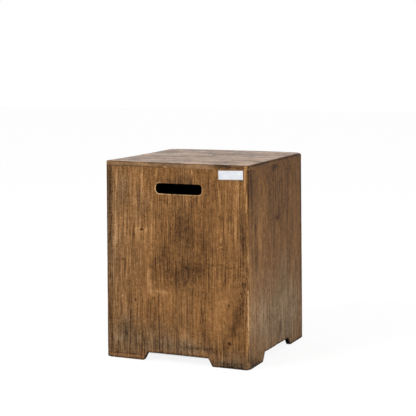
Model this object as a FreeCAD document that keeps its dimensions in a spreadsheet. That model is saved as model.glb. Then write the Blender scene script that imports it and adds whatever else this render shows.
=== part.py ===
"""Square cover table for a gas cylinder: a hollow box, open underneath, that stands over the cylinder.

Four faux-wood cement walls meet in mitres at the upright corners and carry a cement top slab, whose edge
shows as a band round the top. Each slab has a sheet of glass-fibre mesh on its inner face, and mortar
strips of triangular section bond the slabs in every inside corner. The walls end in corner feet with a
shallow notch between them for the gas hose, two opposite walls have a hand slot, and a bare plate is
taped to the front. Rubber pads under the corners touch the floor.

The origin is on the floor under the middle of the table: +X to its right, -Y out of its front, +Z up.
Lengths are in millimetres.
"""

import FreeCAD
import Part

import math
import os

import Sketcher
from FreeCAD import Placement, Rotation, Vector

SIZES = [
    ("overall_width", 406, "from the left wall's outer face to the right wall's"),
    ("overall_depth", 406, "from the front wall's outer face to the back wall's"),
    ("overall_height", 530, "from the floor to the table top"),
    ("wall_thickness", 12, "of each wall"),
    ("top_thickness", 12, "of the top slab"),
    ("corner_radius", 6, "rounding of the upright corners"),
    ("top_edge_radius", 5, "rounding of the top slab's upper edges"),
    ("slot_length", 129, "of a hand slot"),
    ("slot_height", 25, "of a hand slot"),
    ("slot_corner_radius", 11, "in the hand slot's four corners"),
    ("slot_edge_radius", 2, "rounding where a hand slot meets the wall's faces"),
    ("slot_drop", 67.5, "from the table top down to the hand slot's middle"),
    ("slot_shift", 9.5, "of the hand slot to the right of the wall's middle, seen from outside"),
    ("notch_height", 20, "of the hose notches, above the feet's undersides"),
    ("notch_run", 12, "sideways slope of each end of a notch"),
    ("notch_corner_radius", 3, "in the upper corners of a notch"),
    ("foot_left", 109, "width of a slotted wall's left foot at its underside, seen from outside"),
    ("foot_right", 101, "width of a slotted wall's right foot at its underside, seen from outside"),
    ("foot_side_front", 95, "width of a plain wall's front foot at its underside"),
    ("foot_side_back", 104, "width of a plain wall's back foot at its underside"),
    ("mesh_thickness", 1, "of the glass-fibre mesh"),
    ("mesh_setback", 4, "from the edge of a slot or notch to the mesh"),
    ("cove_leg", 26, "of a mortar strip's triangular section, along each slab"),
    ("pad_radius", 10, "of a foot pad"),
    ("pad_thickness", 2, "of a foot pad"),
    ("pad_edge_radius", 0.5, "rounding of a foot pad's lower edge"),
    ("pad_inset", 13.5, "from a wall's outer face to a foot pad's middle"),
    ("plate_width", 68, "of the bare plate"),
    ("plate_height", 24, "of the bare plate"),
    ("plate_thickness", 1, "of the bare plate"),
    ("plate_corner_radius", 1.5, "of the bare plate's corners"),
    ("plate_bevel", 0.3, "round the bare plate's face"),
    ("plate_margin", 13, "from the right wall's outer face to the bare plate"),
    ("plate_drop", 14, "from the table top down to the bare plate"),
    ("tape_thickness", 0.8, "of the foam tape behind the plate"),
    ("tape_margin", 1.5, "from the plate's edges in to the foam tape"),
]

# Lengths that follow from the sizes, as expressions on the sheet's aliases.
FLOOR_GAP = "Sizes.pad_thickness"
SLAB_UNDERSIDE = "Sizes.overall_height - Sizes.top_thickness"
MESH_UNDERSIDE = f"{SLAB_UNDERSIDE} - Sizes.mesh_thickness"
WALL_HEIGHT = f"{SLAB_UNDERSIDE} - {FLOOR_GAP}"
LINED_HEIGHT = f"{WALL_HEIGHT} - Sizes.mesh_thickness"
LINING = "(Sizes.wall_thickness + Sizes.mesh_thickness)"
SLOT_MIDDLE = f"Sizes.overall_height - {FLOOR_GAP} - Sizes.slot_drop"
HALF_CORNER = "Sizes.corner_radius * (1 - sqrt(0.5))"

# The four walls: name, turn about +Z in degrees, its own width, and the width across it.
WALLS = [
    ("front", 0, "Sizes.overall_width", "Sizes.overall_depth"),
    ("right", 90, "Sizes.overall_depth", "Sizes.overall_width"),
    ("back", 180, "Sizes.overall_width", "Sizes.overall_depth"),
    ("left", 270, "Sizes.overall_depth", "Sizes.overall_width"),
]
SLOTTED = ("front", "back")

# The upright corners: name, side along X, side along Y, and the turn that points a strip's legs inwards.
CORNERS = [
    ("front_left", -1, -1, 0),
    ("front_right", 1, -1, 90),
    ("back_right", 1, 1, 180),
    ("back_left", -1, 1, 270),
]

doc = FreeCAD.newDocument("tank_cover_table")
bodies = []


# ---------------------------------------------------------------- the sheet and the sketches


def make_sheet():
    """Writes the driving sizes to a spreadsheet, one row each: its name, its value and what it is."""
    sheet = doc.addObject("Spreadsheet::Sheet", "Sizes")
    for row, (alias, size, meaning) in enumerate(SIZES, start=1):
        sheet.set(f"A{row}", alias)
        sheet.set(f"B{row}", str(size))
        sheet.set(f"C{row}", meaning)
        sheet.setAlias(f"B{row}", alias)
    doc.recompute()
    return sheet


sizes = make_sheet()


def value(expression):
    """The present value of an expression on the sheet's aliases."""
    return float(sizes.evalExpression(expression))


def new_body(label):
    """An empty PartDesign body that becomes the sub-part of that name."""
    body = doc.addObject("PartDesign::Body", label)
    body.Label = label
    bodies.append(body)
    return body


def new_sketch(body, name, role):
    """An empty sketch on the body's own origin plane of that role."""
    sketch = body.newObject("Sketcher::SketchObject", name)
    own_plane = next(f for f in body.Origin.OriginFeatures if f.Role == role)
    sketch.AttachmentSupport = [(own_plane, "")]
    sketch.MapMode = "FlatFace"
    return sketch


def bound_constraint(sketch, expression, *kind_and_points):
    """Adds a dimension to a sketch and binds it to an expression."""
    constraint = Sketcher.Constraint(*kind_and_points, value(expression))
    index = sketch.addConstraint(constraint)
    sketch.setExpression(f"Constraints[{index}]", expression)


def draw_outline(sketch, corners, arcs=None):
    """Draws a closed outline whose corners are (x, y) expressions from the sketch's origin.

    arcs maps the number of a side to (radius, centre x, centre y) expressions, for a side that runs
    anticlockwise round that centre in place of a straight line.
    """
    arcs = arcs or {}
    points = [Vector(value(x), value(y), 0) for x, y in corners]
    count = len(points)
    for side, start in enumerate(points):
        end = points[(side + 1) % count]
        if side in arcs:
            radius, centre_x, centre_y = arcs[side]
            centre = Vector(value(centre_x), value(centre_y), 0)
            circle = Part.Circle(centre, Vector(0, 0, 1), value(radius))
            first, last = (math.atan2(p.y - centre.y, p.x - centre.x) for p in (start, end))
            sketch.addGeometry(Part.ArcOfCircle(circle, first, last))
        else:
            sketch.addGeometry(Part.LineSegment(start, end))
    for side in range(count):
        sketch.addConstraint(Sketcher.Constraint("Coincident", side, 2, (side + 1) % count, 1))
    for side, (x, y) in enumerate(corners):
        bound_constraint(sketch, x, "DistanceX", -1, 1, side, 1)
        bound_constraint(sketch, y, "DistanceY", -1, 1, side, 1)
    for side, (radius, _, _) in arcs.items():
        bound_constraint(sketch, radius, "Radius", side)


def draw_rectangle(sketch, left, right, low, high):
    """Draws a rectangle between four expressions from the sketch's origin."""
    draw_outline(sketch, [(left, low), (right, low), (right, high), (left, high)])


def draw_circle(sketch, radius):
    """Draws a circle about the sketch's origin."""
    sketch.addGeometry(Part.Circle(Vector(0, 0, 0), Vector(0, 0, 1), value(radius)))
    sketch.addConstraint(Sketcher.Constraint("Coincident", 0, 3, -1, 1))
    bound_constraint(sketch, radius, "Radius", 0)


# ---------------------------------------------------------------- the features


def pad(body, sketch, length, reverse=False):
    """Pads a sketch by an expression, along its normal or against it."""
    feature = body.newObject("PartDesign::Pad", "Pad")
    feature.Profile = sketch
    feature.setExpression("Length", length)
    feature.Reversed = reverse
    doc.recompute()
    return feature


def cut_through(body, sketch):
    """Pockets a sketch right through the body both ways, and stops if that removes nothing."""
    before = body.Shape.Volume
    feature = body.newObject("PartDesign::Pocket", "Pocket")
    feature.Profile = sketch
    feature.SideType = "Symmetric"
    feature.Type = "ThroughAll"
    doc.recompute()
    if not body.Shape.Volume < before:
        raise RuntimeError(f"{body.Label}: the pocket {sketch.Label} removed nothing")
    return feature


def dress(body, kind, radius, wanted):
    """Rounds or bevels the edges of the body's tip whose middle point passes the test `wanted`."""
    tip = body.Tip
    names = [f"Edge{i}" for i, edge in enumerate(tip.Shape.Edges, 1) if wanted(edge)]
    feature = body.newObject(f"PartDesign::{kind}", kind)
    feature.Base = (tip, names)
    feature.setExpression("Size" if kind == "Chamfer" else "Radius", radius)
    doc.recompute()
    return feature


def middle(edge):
    """The point halfway along an edge."""
    return edge.valueAt((edge.FirstParameter + edge.LastParameter) / 2)


def near(a, b):
    """True if two coordinates are the same but for rounding."""
    return abs(a - b) < 1e-6


def runs_along(edge, axis):
    """True if an edge is straight and parallel to an axis."""
    if not isinstance(edge.Curve, Part.Line):
        return False
    direction = edge.Curve.Direction
    return near(abs(direction.dot(axis)), 1)


# ---------------------------------------------------------------- where things go


def place(body, turn, x, y, z):
    """Turns a body about +Z in degrees and moves it to three expressions."""
    body.Placement = Placement(Vector(), Rotation(Vector(0, 0, 1), turn))
    for axis, expression in (("x", x), ("y", y), ("z", z)):
        body.setExpression(f"Placement.Base.{axis}", expression)


def place_behind(body, turn, across, outset, z):
    """Places a body that was drawn in a wall's own frame, where y = 0 is the wall's outer face.

    across is the table's size across that wall, and outset how far the body's y = 0 lies outside it.
    """
    reach = f"({across} / 2 + {outset})"
    outward = Rotation(Vector(0, 0, 1), turn).multVec(Vector(0, -1, 0))
    place(body, turn, f"{round(outward.x)} * {reach}", f"{round(outward.y)} * {reach}", z)


# ---------------------------------------------------------------- the slabs


def notch_feet(name):
    """The widths of a wall's left and right foot, as expressions."""
    if name in SLOTTED:
        return "Sizes.foot_left", "Sizes.foot_right"
    if name == "right":
        return "Sizes.foot_side_front", "Sizes.foot_side_back"
    return "Sizes.foot_side_back", "Sizes.foot_side_front"


def draw_notch(sketch, name, width, grow):
    """Draws the hose notch of a wall, grown on every side by an expression."""
    left, right = notch_feet(name)
    start = f"-{width} / 2 + {left} - {grow}"
    end = f"{width} / 2 - {right} + {grow}"
    top = f"Sizes.notch_height + {grow}"
    draw_outline(
        sketch,
        [(start, "0"), (end, "0"), (f"{end} - Sizes.notch_run", top), (f"{start} + Sizes.notch_run", top)],
    )


def draw_slot(sketch, grow):
    """Draws the hand slot of a wall as a rectangle, grown on every side by an expression."""
    half_length = f"Sizes.slot_length / 2 + {grow}"
    half_height = f"Sizes.slot_height / 2 + {grow}"
    draw_rectangle(
        sketch,
        f"Sizes.slot_shift - ({half_length})",
        f"Sizes.slot_shift + ({half_length})",
        f"{SLOT_MIDDLE} - ({half_height})",
        f"{SLOT_MIDDLE} + ({half_height})",
    )


def is_slot_corner(edge):
    """True for an edge that runs through the wall in a corner of its hand slot."""
    return runs_along(edge, Vector(0, 1, 0)) and middle(edge).z > value("Sizes.notch_height") + 1


def is_notch_corner(edge):
    """True for an edge that runs through the wall in an upper corner of its notch."""
    return runs_along(edge, Vector(0, 1, 0)) and near(middle(edge).z, value("Sizes.notch_height"))


def is_slot_rim(edge):
    """True for an edge where the hand slot meets the wall's outer or inner face."""
    point = middle(edge)
    on_a_face = near(point.y, 0) or near(point.y, value("Sizes.wall_thickness"))
    half_length = value("Sizes.slot_length / 2")
    half_height = value("Sizes.slot_height / 2")
    beside = abs(point.x - value("Sizes.slot_shift")) <= half_length + 1e-6
    level = abs(point.z - value(SLOT_MIDDLE)) <= half_height + 1e-6
    return on_a_face and beside and level


def make_wall(name, turn, width, across):
    """One cement wall: a mitred slab with rounded outer corners, a hose notch and perhaps a hand slot."""
    body = new_body(f"{name}_wall")
    half = f"{width} / 2"
    thick = "Sizes.wall_thickness"
    round_start = f"({half} - Sizes.corner_radius)"
    round_middle = f"({half} - {HALF_CORNER})"
    plan = new_sketch(body, "Plan", "XY_Plane")
    draw_outline(
        plan,
        [
            (f"-{round_start}", "0"),
            (round_start, "0"),
            (round_middle, HALF_CORNER),
            (f"{half} - {thick}", thick),
            (f"-({half} - {thick})", thick),
            (f"-{round_middle}", HALF_CORNER),
        ],
        arcs={
            1: ("Sizes.corner_radius", round_start, "Sizes.corner_radius"),
            5: ("Sizes.corner_radius", f"-{round_start}", "Sizes.corner_radius"),
        },
    )
    pad(body, plan, WALL_HEIGHT)

    notch = new_sketch(body, "Notch", "XZ_Plane")
    draw_notch(notch, name, width, "0")
    cut_through(body, notch)
    dress(body, "Fillet", "Sizes.notch_corner_radius", is_notch_corner)

    if name in SLOTTED:
        slot = new_sketch(body, "HandSlot", "XZ_Plane")
        draw_slot(slot, "0")
        cut_through(body, slot)
        dress(body, "Fillet", "Sizes.slot_corner_radius", is_slot_corner)
        dress(body, "Fillet", "Sizes.slot_edge_radius", is_slot_rim)
    place_behind(body, turn, across, "0", FLOOR_GAP)


def make_wall_mesh(name, turn, width, across):
    """The mesh on a wall's inner face, cut back round its notch and its hand slot.

    The front and back sheets reach the side walls, and the side sheets fit between those two.
    """
    body = new_body(f"{name}_mesh")
    lap = "Sizes.wall_thickness" if name in SLOTTED else LINING
    half = f"({width} / 2 - {lap})"
    plan = new_sketch(body, "Plan", "XY_Plane")
    draw_rectangle(plan, f"-{half}", half, "0", "Sizes.mesh_thickness")
    pad(body, plan, LINED_HEIGHT)

    notch = new_sketch(body, "Notch", "XZ_Plane")
    draw_notch(notch, name, width, "Sizes.mesh_setback")
    cut_through(body, notch)
    if name in SLOTTED:
        slot = new_sketch(body, "HandSlot", "XZ_Plane")
        draw_slot(slot, "Sizes.mesh_setback")
        cut_through(body, slot)
    place_behind(body, turn, across, "-Sizes.wall_thickness", FLOOR_GAP)


def make_top_slab():
    """The cement top, with rounded upright corners and upper edges."""
    body = new_body("top_slab")
    plan = new_sketch(body, "Plan", "XY_Plane")
    half_width = "Sizes.overall_width / 2"
    half_depth = "Sizes.overall_depth / 2"
    draw_rectangle(plan, f"-{half_width}", half_width, f"-{half_depth}", half_depth)
    pad(body, plan, "Sizes.top_thickness")
    dress(body, "Fillet", "Sizes.corner_radius", lambda edge: runs_along(edge, Vector(0, 0, 1)))
    top = value("Sizes.top_thickness")
    dress(body, "Fillet", "Sizes.top_edge_radius", lambda edge: near(middle(edge).z, top))
    place(body, 0, "0", "0", SLAB_UNDERSIDE)


def make_top_mesh():
    """The mesh under the top slab, which reaches the walls and lies on the wall meshes' upper edges."""
    body = new_body("top_mesh")
    plan = new_sketch(body, "Plan", "XY_Plane")
    half_width = "(Sizes.overall_width / 2 - Sizes.wall_thickness)"
    half_depth = "(Sizes.overall_depth / 2 - Sizes.wall_thickness)"
    draw_rectangle(plan, f"-{half_width}", half_width, f"-{half_depth}", half_depth)
    pad(body, plan, "Sizes.mesh_thickness")
    place(body, 0, "0", "0", MESH_UNDERSIDE)


# ---------------------------------------------------------------- the bonding strips


def make_corner_cove(name, side_x, side_y, turn):
    """The mortar strip up one inside corner, from the foot's underside to the top mesh."""
    body = new_body(f"corner_cove_{name}")
    plan = new_sketch(body, "Section", "XY_Plane")
    draw_outline(plan, [("0", "0"), ("Sizes.cove_leg", "0"), ("0", "Sizes.cove_leg")])
    pad(body, plan, LINED_HEIGHT)
    x = f"{side_x} * (Sizes.overall_width / 2 - {LINING})"
    y = f"{side_y} * (Sizes.overall_depth / 2 - {LINING})"
    place(body, turn, x, y, FLOOR_GAP)


def make_top_cove(name, turn, width, across):
    """The mortar strip between a wall and the top slab, coped at its ends to the corner strips.

    In plan each end is a point: half of it lies against the corner strip's sloping face, and the other
    half is a mitre with the next top strip.
    """
    body = new_body(f"top_cove_{name}")
    leg = "Sizes.cove_leg"
    shoulder = f"({width} / 2 - {LINING} - {leg})"
    tip = f"({width} / 2 - {LINING} - {leg} / 2)"
    plan = new_sketch(body, "Plan", "XY_Plane")
    draw_outline(
        plan,
        [
            (f"-{shoulder}", "0"),
            (shoulder, "0"),
            (tip, f"{leg} / 2"),
            (shoulder, leg),
            (f"-{shoulder}", leg),
            (f"-{tip}", f"{leg} / 2"),
        ],
    )
    pad(body, plan, leg, reverse=True)
    slope = new_sketch(body, "Slope", "YZ_Plane")
    draw_outline(slope, [("0", f"-{leg}"), (leg, f"-{leg}"), (leg, "0")])
    cut_through(body, slope)
    place_behind(body, turn, across, f"-{LINING}", MESH_UNDERSIDE)


# ---------------------------------------------------------------- the pads and the plate


def make_foot_pad(name, side_x, side_y):
    """The rubber pad stuck under one corner, with its lower edge rounded."""
    body = new_body(f"foot_pad_{name}")
    disc = new_sketch(body, "Disc", "XY_Plane")
    draw_circle(disc, "Sizes.pad_radius")
    pad(body, disc, "Sizes.pad_thickness")
    dress(body, "Fillet", "Sizes.pad_edge_radius", lambda edge: near(middle(edge).z, 0))
    x = f"{side_x} * (Sizes.overall_width / 2 - Sizes.pad_inset)"
    y = f"{side_y} * (Sizes.overall_depth / 2 - Sizes.pad_inset)"
    place(body, 0, x, y, "0")


def draw_plate_outline(sketch, margin):
    """Draws the bare plate's rectangle as it lies on the front wall, less a margin on every side."""
    right = "Sizes.overall_width / 2 - Sizes.plate_margin"
    high = f"Sizes.overall_height - {FLOOR_GAP} - Sizes.plate_drop"
    draw_rectangle(
        sketch,
        f"{right} - Sizes.plate_width + {margin}",
        f"{right} - {margin}",
        f"{high} - Sizes.plate_height + {margin}",
        f"{high} - {margin}",
    )


def make_plate():
    """The bare plate at the front wall's upper right, with rounded corners and a bevelled face."""
    body = new_body("nameplate")
    face = new_sketch(body, "Face", "XZ_Plane")
    draw_plate_outline(face, "0")
    pad(body, face, "Sizes.plate_thickness")
    dress(body, "Fillet", "Sizes.plate_corner_radius", lambda edge: runs_along(edge, Vector(0, 1, 0)))
    front = -value("Sizes.plate_thickness")
    dress(body, "Chamfer", "Sizes.plate_bevel", lambda edge: near(middle(edge).y, front))
    place_behind(body, 0, "Sizes.overall_depth", "Sizes.tape_thickness", FLOOR_GAP)


def make_plate_tape():
    """The foam tape between the plate and the front wall."""
    body = new_body("nameplate_tape")
    face = new_sketch(body, "Face", "XZ_Plane")
    draw_plate_outline(face, "Sizes.tape_margin")
    pad(body, face, "Sizes.tape_thickness")
    place_behind(body, 0, "Sizes.overall_depth", "0", FLOOR_GAP)


# ---------------------------------------------------------------- the whole table


def make_all():
    """Builds every sub-part in its place."""
    make_top_slab()
    make_top_mesh()
    for wall in WALLS:
        make_wall(*wall)
        make_wall_mesh(*wall)
        make_top_cove(*wall)
    for name, side_x, side_y, turn in CORNERS:
        make_corner_cove(name, side_x, side_y, turn)
        make_foot_pad(name, side_x, side_y)
    make_plate()
    make_plate_tape()


def check_all():
    """Stops if an object failed, or if a sub-part is not one valid closed solid."""
    doc.recompute()
    for thing in doc.Objects:
        if {"Invalid", "Error"} & set(thing.State):
            raise RuntimeError(f"{thing.Label} failed: {thing.State}")
    for body in bodies:
        shape = body.Shape
        if shape.isNull() or not shape.isValid() or len(shape.Solids) != 1:
            raise RuntimeError(f"{body.Label} is not one valid solid")


def export_all():
    """Writes one STEP file for each sub-part, named by its label."""
    os.makedirs("parts", exist_ok=True)
    for body in bodies:
        body.Shape.exportStep(f"parts/{body.Label}.step")
        print(f"{body.Label}: {body.Shape.Volume / 1000:.1f} cm3")


make_all()
check_all()
export_all()
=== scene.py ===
"""Looks of the square table that stands over a gas cylinder: grained cement, black inside, and a bare plate."""

import logging
import math
from dataclasses import dataclass
from enum import Enum
from functools import partialmethod
from typing import Any, Sequence

import bmesh
import bpy
import numpy as np
from mathutils import Matrix, Vector


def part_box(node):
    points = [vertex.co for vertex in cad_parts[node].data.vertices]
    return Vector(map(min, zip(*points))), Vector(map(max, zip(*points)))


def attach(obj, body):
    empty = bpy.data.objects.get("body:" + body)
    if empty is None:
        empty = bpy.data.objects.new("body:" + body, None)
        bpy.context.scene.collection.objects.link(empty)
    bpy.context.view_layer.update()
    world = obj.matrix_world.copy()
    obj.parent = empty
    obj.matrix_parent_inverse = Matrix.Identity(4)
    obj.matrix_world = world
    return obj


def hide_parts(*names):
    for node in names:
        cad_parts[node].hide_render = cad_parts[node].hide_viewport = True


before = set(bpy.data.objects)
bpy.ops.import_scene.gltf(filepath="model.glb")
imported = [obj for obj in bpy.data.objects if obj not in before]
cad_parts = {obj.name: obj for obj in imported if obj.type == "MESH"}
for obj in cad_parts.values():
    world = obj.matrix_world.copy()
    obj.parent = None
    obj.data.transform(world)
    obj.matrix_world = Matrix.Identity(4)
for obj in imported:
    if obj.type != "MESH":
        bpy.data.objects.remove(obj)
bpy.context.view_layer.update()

log = logging.getLogger("tank_cover_table")

MM = 0.001
BODY = "root"

Array = np.ndarray
Colour = tuple[float, float, float, float]
Rows = Sequence[tuple[float, ...]]
Piece = bpy.types.Object
Material = bpy.types.Material
Pair = tuple[float, float]
Triple = tuple[float, float, float]


# ---------------- sizes


@dataclass(frozen=True)
class TableSizes:
    """The table's sizes in millimetres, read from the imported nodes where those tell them.

    The slot's and the notches' sizes repeat the part's own, because a node's box doesn't show them. The draft is how
    much further out each wall stands at its foot than at its top, so that a casting leaves its mould.
    """

    half_width: float
    height: float
    slab_underside: float
    wall_foot: float
    wall: float
    lining: float
    cove_leg: float
    corner_radius: float = 6.0
    top_edge_radius: float = 5.0
    slot_length: float = 129.0
    slot_height: float = 25.0
    slot_drop: float = 67.5
    slot_shift: float = 9.5
    slot_rim: float = 2.0
    notch_height: float = 20.0
    notch_run: float = 12.0
    foot_left: float = 109.0
    foot_right: float = 101.0
    foot_side_front: float = 95.0
    foot_side_back: float = 104.0
    mesh_setback: float = 4.0
    draft: float = 3.4

    @classmethod
    def from_frame(cls) -> "TableSizes":
        """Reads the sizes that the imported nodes' boxes give.

        Returns:
            The sizes.
        """
        slab_low, slab_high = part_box("top_slab")
        wall_low, wall_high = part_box("front_wall")
        mesh_low, mesh_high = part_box("front_mesh")
        cove_low, cove_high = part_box("corner_cove_front_left")
        return cls(
            half_width=slab_high.x / MM,
            height=slab_high.z / MM,
            slab_underside=slab_low.z / MM,
            wall_foot=wall_low.z / MM,
            wall=(wall_high.y - wall_low.y) / MM,
            lining=(mesh_high.y - mesh_low.y) / MM,
            cove_leg=(cove_high.x - cove_low.x) / MM,
        )

    @property
    def slot_middle(self) -> float:
        """The height of a hand slot's middle above the floor."""
        return self.height - self.slot_drop

    @property
    def inner(self) -> float:
        """The distance from the table's middle to a mesh sheet's inner face."""
        return self.half_width - self.wall - self.lining

    @property
    def lining_top(self) -> float:
        """The height of the underside of the mesh under the top."""
        return self.slab_underside - self.lining


SIZES = TableSizes.from_frame()


class Side(Enum):
    """A wall of the table, with its turn about the upright axis, in degrees."""

    FRONT = 0
    RIGHT = 90
    BACK = 180
    LEFT = 270

    @property
    def word(self) -> str:
        """The side's name as it stands in the nodes' names."""
        return self.name.lower()

    @property
    def slotted(self) -> bool:
        """Whether this wall has a hand slot."""
        return self in (Side.FRONT, Side.BACK)

    @property
    def feet(self) -> Pair:
        """The widths of the wall's left and right foot, in millimetres, seen from outside."""
        if self.slotted:
            return SIZES.foot_left, SIZES.foot_right
        if self is Side.RIGHT:
            return SIZES.foot_side_front, SIZES.foot_side_back
        return SIZES.foot_side_back, SIZES.foot_side_front

    def to_table(self) -> Matrix:
        """The matrix that takes the wall's own frame, which lies on its outer face, to the table's."""
        outwards = Matrix.Translation((0, -SIZES.half_width * MM, 0))
        return Matrix.Rotation(math.radians(self.value), 4, "Z") @ outwards


def give_draft(piece: Piece) -> None:
    """Widens a piece towards the table's foot.

    Args:
        piece: The piece, in the table's frame.
    """
    points = Bench.points(piece)
    fall = (SIZES.slab_underside - points[:, 2]) / (SIZES.slab_underside - SIZES.wall_foot)
    points[:, :2] *= 1 + SIZES.draft / SIZES.half_width * np.maximum(fall, 0)[:, None]
    Bench.set_points(piece, points)


# ---------------- repeatable noise

HASH_ACROSS = 374761393
HASH_ALONG = 668265263
HASH_MIX = 1274126177
HASH_RANGE = float(2**32)


def lattice(ix: Array, iy: Array, seed: int) -> Array:
    """A fixed pseudo-random value at each whole-numbered point.

    Args:
        ix: Whole numbers across.
        iy: Whole numbers along.
        seed: Picks one field of values out of many.

    Returns:
        Values from -1 to 1.
    """
    mixed = ix.astype(np.int64) * HASH_ACROSS + iy.astype(np.int64) * HASH_ALONG + seed * HASH_MIX
    mixed = (mixed & 0xFFFFFFFF).astype(np.uint64)
    mixed = ((mixed ^ (mixed >> np.uint64(13))) * np.uint64(HASH_MIX)) & np.uint64(0xFFFFFFFF)
    mixed = mixed ^ (mixed >> np.uint64(16))
    return mixed / HASH_RANGE * 2 - 1


def ripple(across: Array, along: Array, seed: int) -> Array:
    """Smooth noise between the lattice's values.

    Args:
        across: First coordinate, in lattice steps.
        along: Second coordinate, in lattice steps.
        seed: Picks one field out of many.

    Returns:
        Values from -1 to 1.
    """
    across, along = np.broadcast_arrays(np.asarray(across, float), np.asarray(along, float))
    ix, iy = np.floor(across), np.floor(along)
    fx, fy = across - ix, along - iy
    fx, fy = fx * fx * (3 - 2 * fx), fy * fy * (3 - 2 * fy)
    low = lattice(ix, iy, seed) * (1 - fx) + lattice(ix + 1, iy, seed) * fx
    high = lattice(ix, iy + 1, seed) * (1 - fx) + lattice(ix + 1, iy + 1, seed) * fx
    return low * (1 - fy) + high * fy


def clouds(across: Array, along: Array, seed: int, octaves: int = 3) -> Array:
    """Noise on several scales, each half as large and half as strong as the one before.

    Args:
        across: First coordinate, in steps of the largest scale.
        along: Second coordinate, in steps of the largest scale.
        seed: Picks one field out of many.
        octaves: How many scales.

    Returns:
        Values from about -1 to 1.
    """
    total = np.zeros(np.broadcast(across, along).shape)
    for octave in range(octaves):
        total += ripple(across * 2**octave, along * 2**octave, seed + octave) / 2**octave
    return total / (2 - 2.0 ** (1 - octaves))


def bell(value: Array) -> Array:
    """A smooth hump: 1 where the value is 0, and falling away on both sides."""
    return np.exp(-(value**2))


def ease(value: Array) -> Array:
    """Turns a value that runs through 0 to 1 into a smooth step, flat on both sides."""
    value = np.clip(value, 0, 1)
    return value * value * (3 - 2 * value)


# ---------------- marks in the grain


class Mark:
    """Something that shows in a face's grain.

    Tone is how much paler it is than the face, groove how deep it is in millimetres, ash how greyed it is, and calm
    how far it fades the fine lines.
    """

    tone: float
    groove = ash = calm = 0.0

    def cover(self, across: Array, along: Array) -> Array:
        """How strongly the mark shows, from 0 to 1, at places given in millimetres."""
        raise NotImplementedError


@dataclass(frozen=True)
class Streak(Mark):
    """A line along the grain: pale where a ridge is worn, dark where a pore line holds stain."""

    across: float
    start: float
    end: float
    width: float
    tone: float
    groove: float = 0.0
    ash: float = 0.0

    FADE = 22
    RAGGED = 14

    def cover(self, across: Array, along: Array) -> Array:
        """A line that wanders a little, with ragged ends that fade out.

        Args:
            across: Places across.
            along: Places along.

        Returns:
            The strength at each place.
        """
        wander = 1.3 * ripple(along / 55, self.across, 5) + 0.4 * ripple(along / 13, self.across, 6)
        ragged = self.RAGGED * ripple(across / 2.1, self.across, 7)
        line = bell((across - self.across - wander) / self.width)
        return line * ease((along - self.start + ragged) / self.FADE) * ease((self.end - along + ragged) / self.FADE)


@dataclass(frozen=True)
class Patch(Mark):
    """A soft-edged cloud of stain or wear. Lean is how far it drifts across for each step along."""

    across: float
    along: float
    half_width: float
    half_length: float
    tone: float
    ash: float = 0.0
    lean: float = 0.0
    calm: float = 0.0

    def cover(self, across: Array, along: Array) -> Array:
        """An oval cloud with an uneven edge.

        Args:
            across: Places across.
            along: Places along.

        Returns:
            The strength at each place.
        """
        drift = self.lean * (along - self.along)
        reach = np.hypot(
            (across - self.across - drift) / self.half_width, (along - self.along) / self.half_length
        )
        seed = round(self.across * 3 + self.along)
        ragged = 0.35 * clouds(across / 14, along / 30, seed) + 0.20 * ripple(across / 2.6, along / 60, seed + 7)
        return bell(np.maximum(reach + ragged, 0))


@dataclass(frozen=True)
class Knot(Mark):
    """A knot that the grain flows round, with a dark core and fine rings. Push is how hard it bends the grain."""

    across: float
    along: float
    half_width: float
    half_length: float
    tone: float = -0.45
    push: float = 1.0
    groove: float = 0.8

    CORE = 1.45

    def reach(self, across: Array, along: Array) -> Array:
        """The distance from the knot's middle, counted in its own half sizes."""
        return np.hypot((across - self.across) / self.half_width, (along - self.along) / self.half_length)

    def cover(self, across: Array, along: Array) -> Array:
        """The knot's core, with a slightly ragged outline."""
        ragged = 0.25 * clouds(across / 2.5, along / 2.5, round(self.across + self.along), 2)
        return ease(self.CORE - self.reach(across, along) - ragged)

    def bend(self, across: Array, along: Array) -> Array:
        """How far the grain is pushed aside, in millimetres, away from the knot's middle.

        Args:
            across: Places across.
            along: Places along.

        Returns:
            The push at each place.
        """
        side = across - self.across
        towards = np.tanh(side / self.half_width)
        fade_across = np.exp(-np.abs(side) / (4 * self.half_width))
        fade_along = bell((along - self.along) / (4.5 * self.half_length))
        return self.push * self.half_width * towards * fade_across * fade_along


@dataclass(frozen=True)
class CrossLine(Mark):
    """A line across the grain, such as a saw mark or the print of a mould's edge. Waver is how far it strays."""

    start: float
    end: float
    along: float
    width: float
    tone: float
    waver: float = 1.5
    groove: float = 0.0

    FADE = 8

    def cover(self, across: Array, along: Array) -> Array:
        """A wavering line, stronger in some places than in others.

        Args:
            across: Places across.
            along: Places along.

        Returns:
            The strength at each place.
        """
        wander = self.waver * clouds(across / 18, self.along, 11, 2)
        line = bell((along - self.along - wander) / self.width)
        ends = ease((across - self.start) / self.FADE) * ease((self.end - across) / self.FADE)
        broken = 0.65 + 0.35 * ripple(across / 5, self.along, 12)
        return line * ends * broken


@dataclass(frozen=True)
class Board:
    """One board of the pattern that the cement was cast against, from its left edge to the next board's."""

    left: float
    tone: float
    ash: float = 0.0


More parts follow.
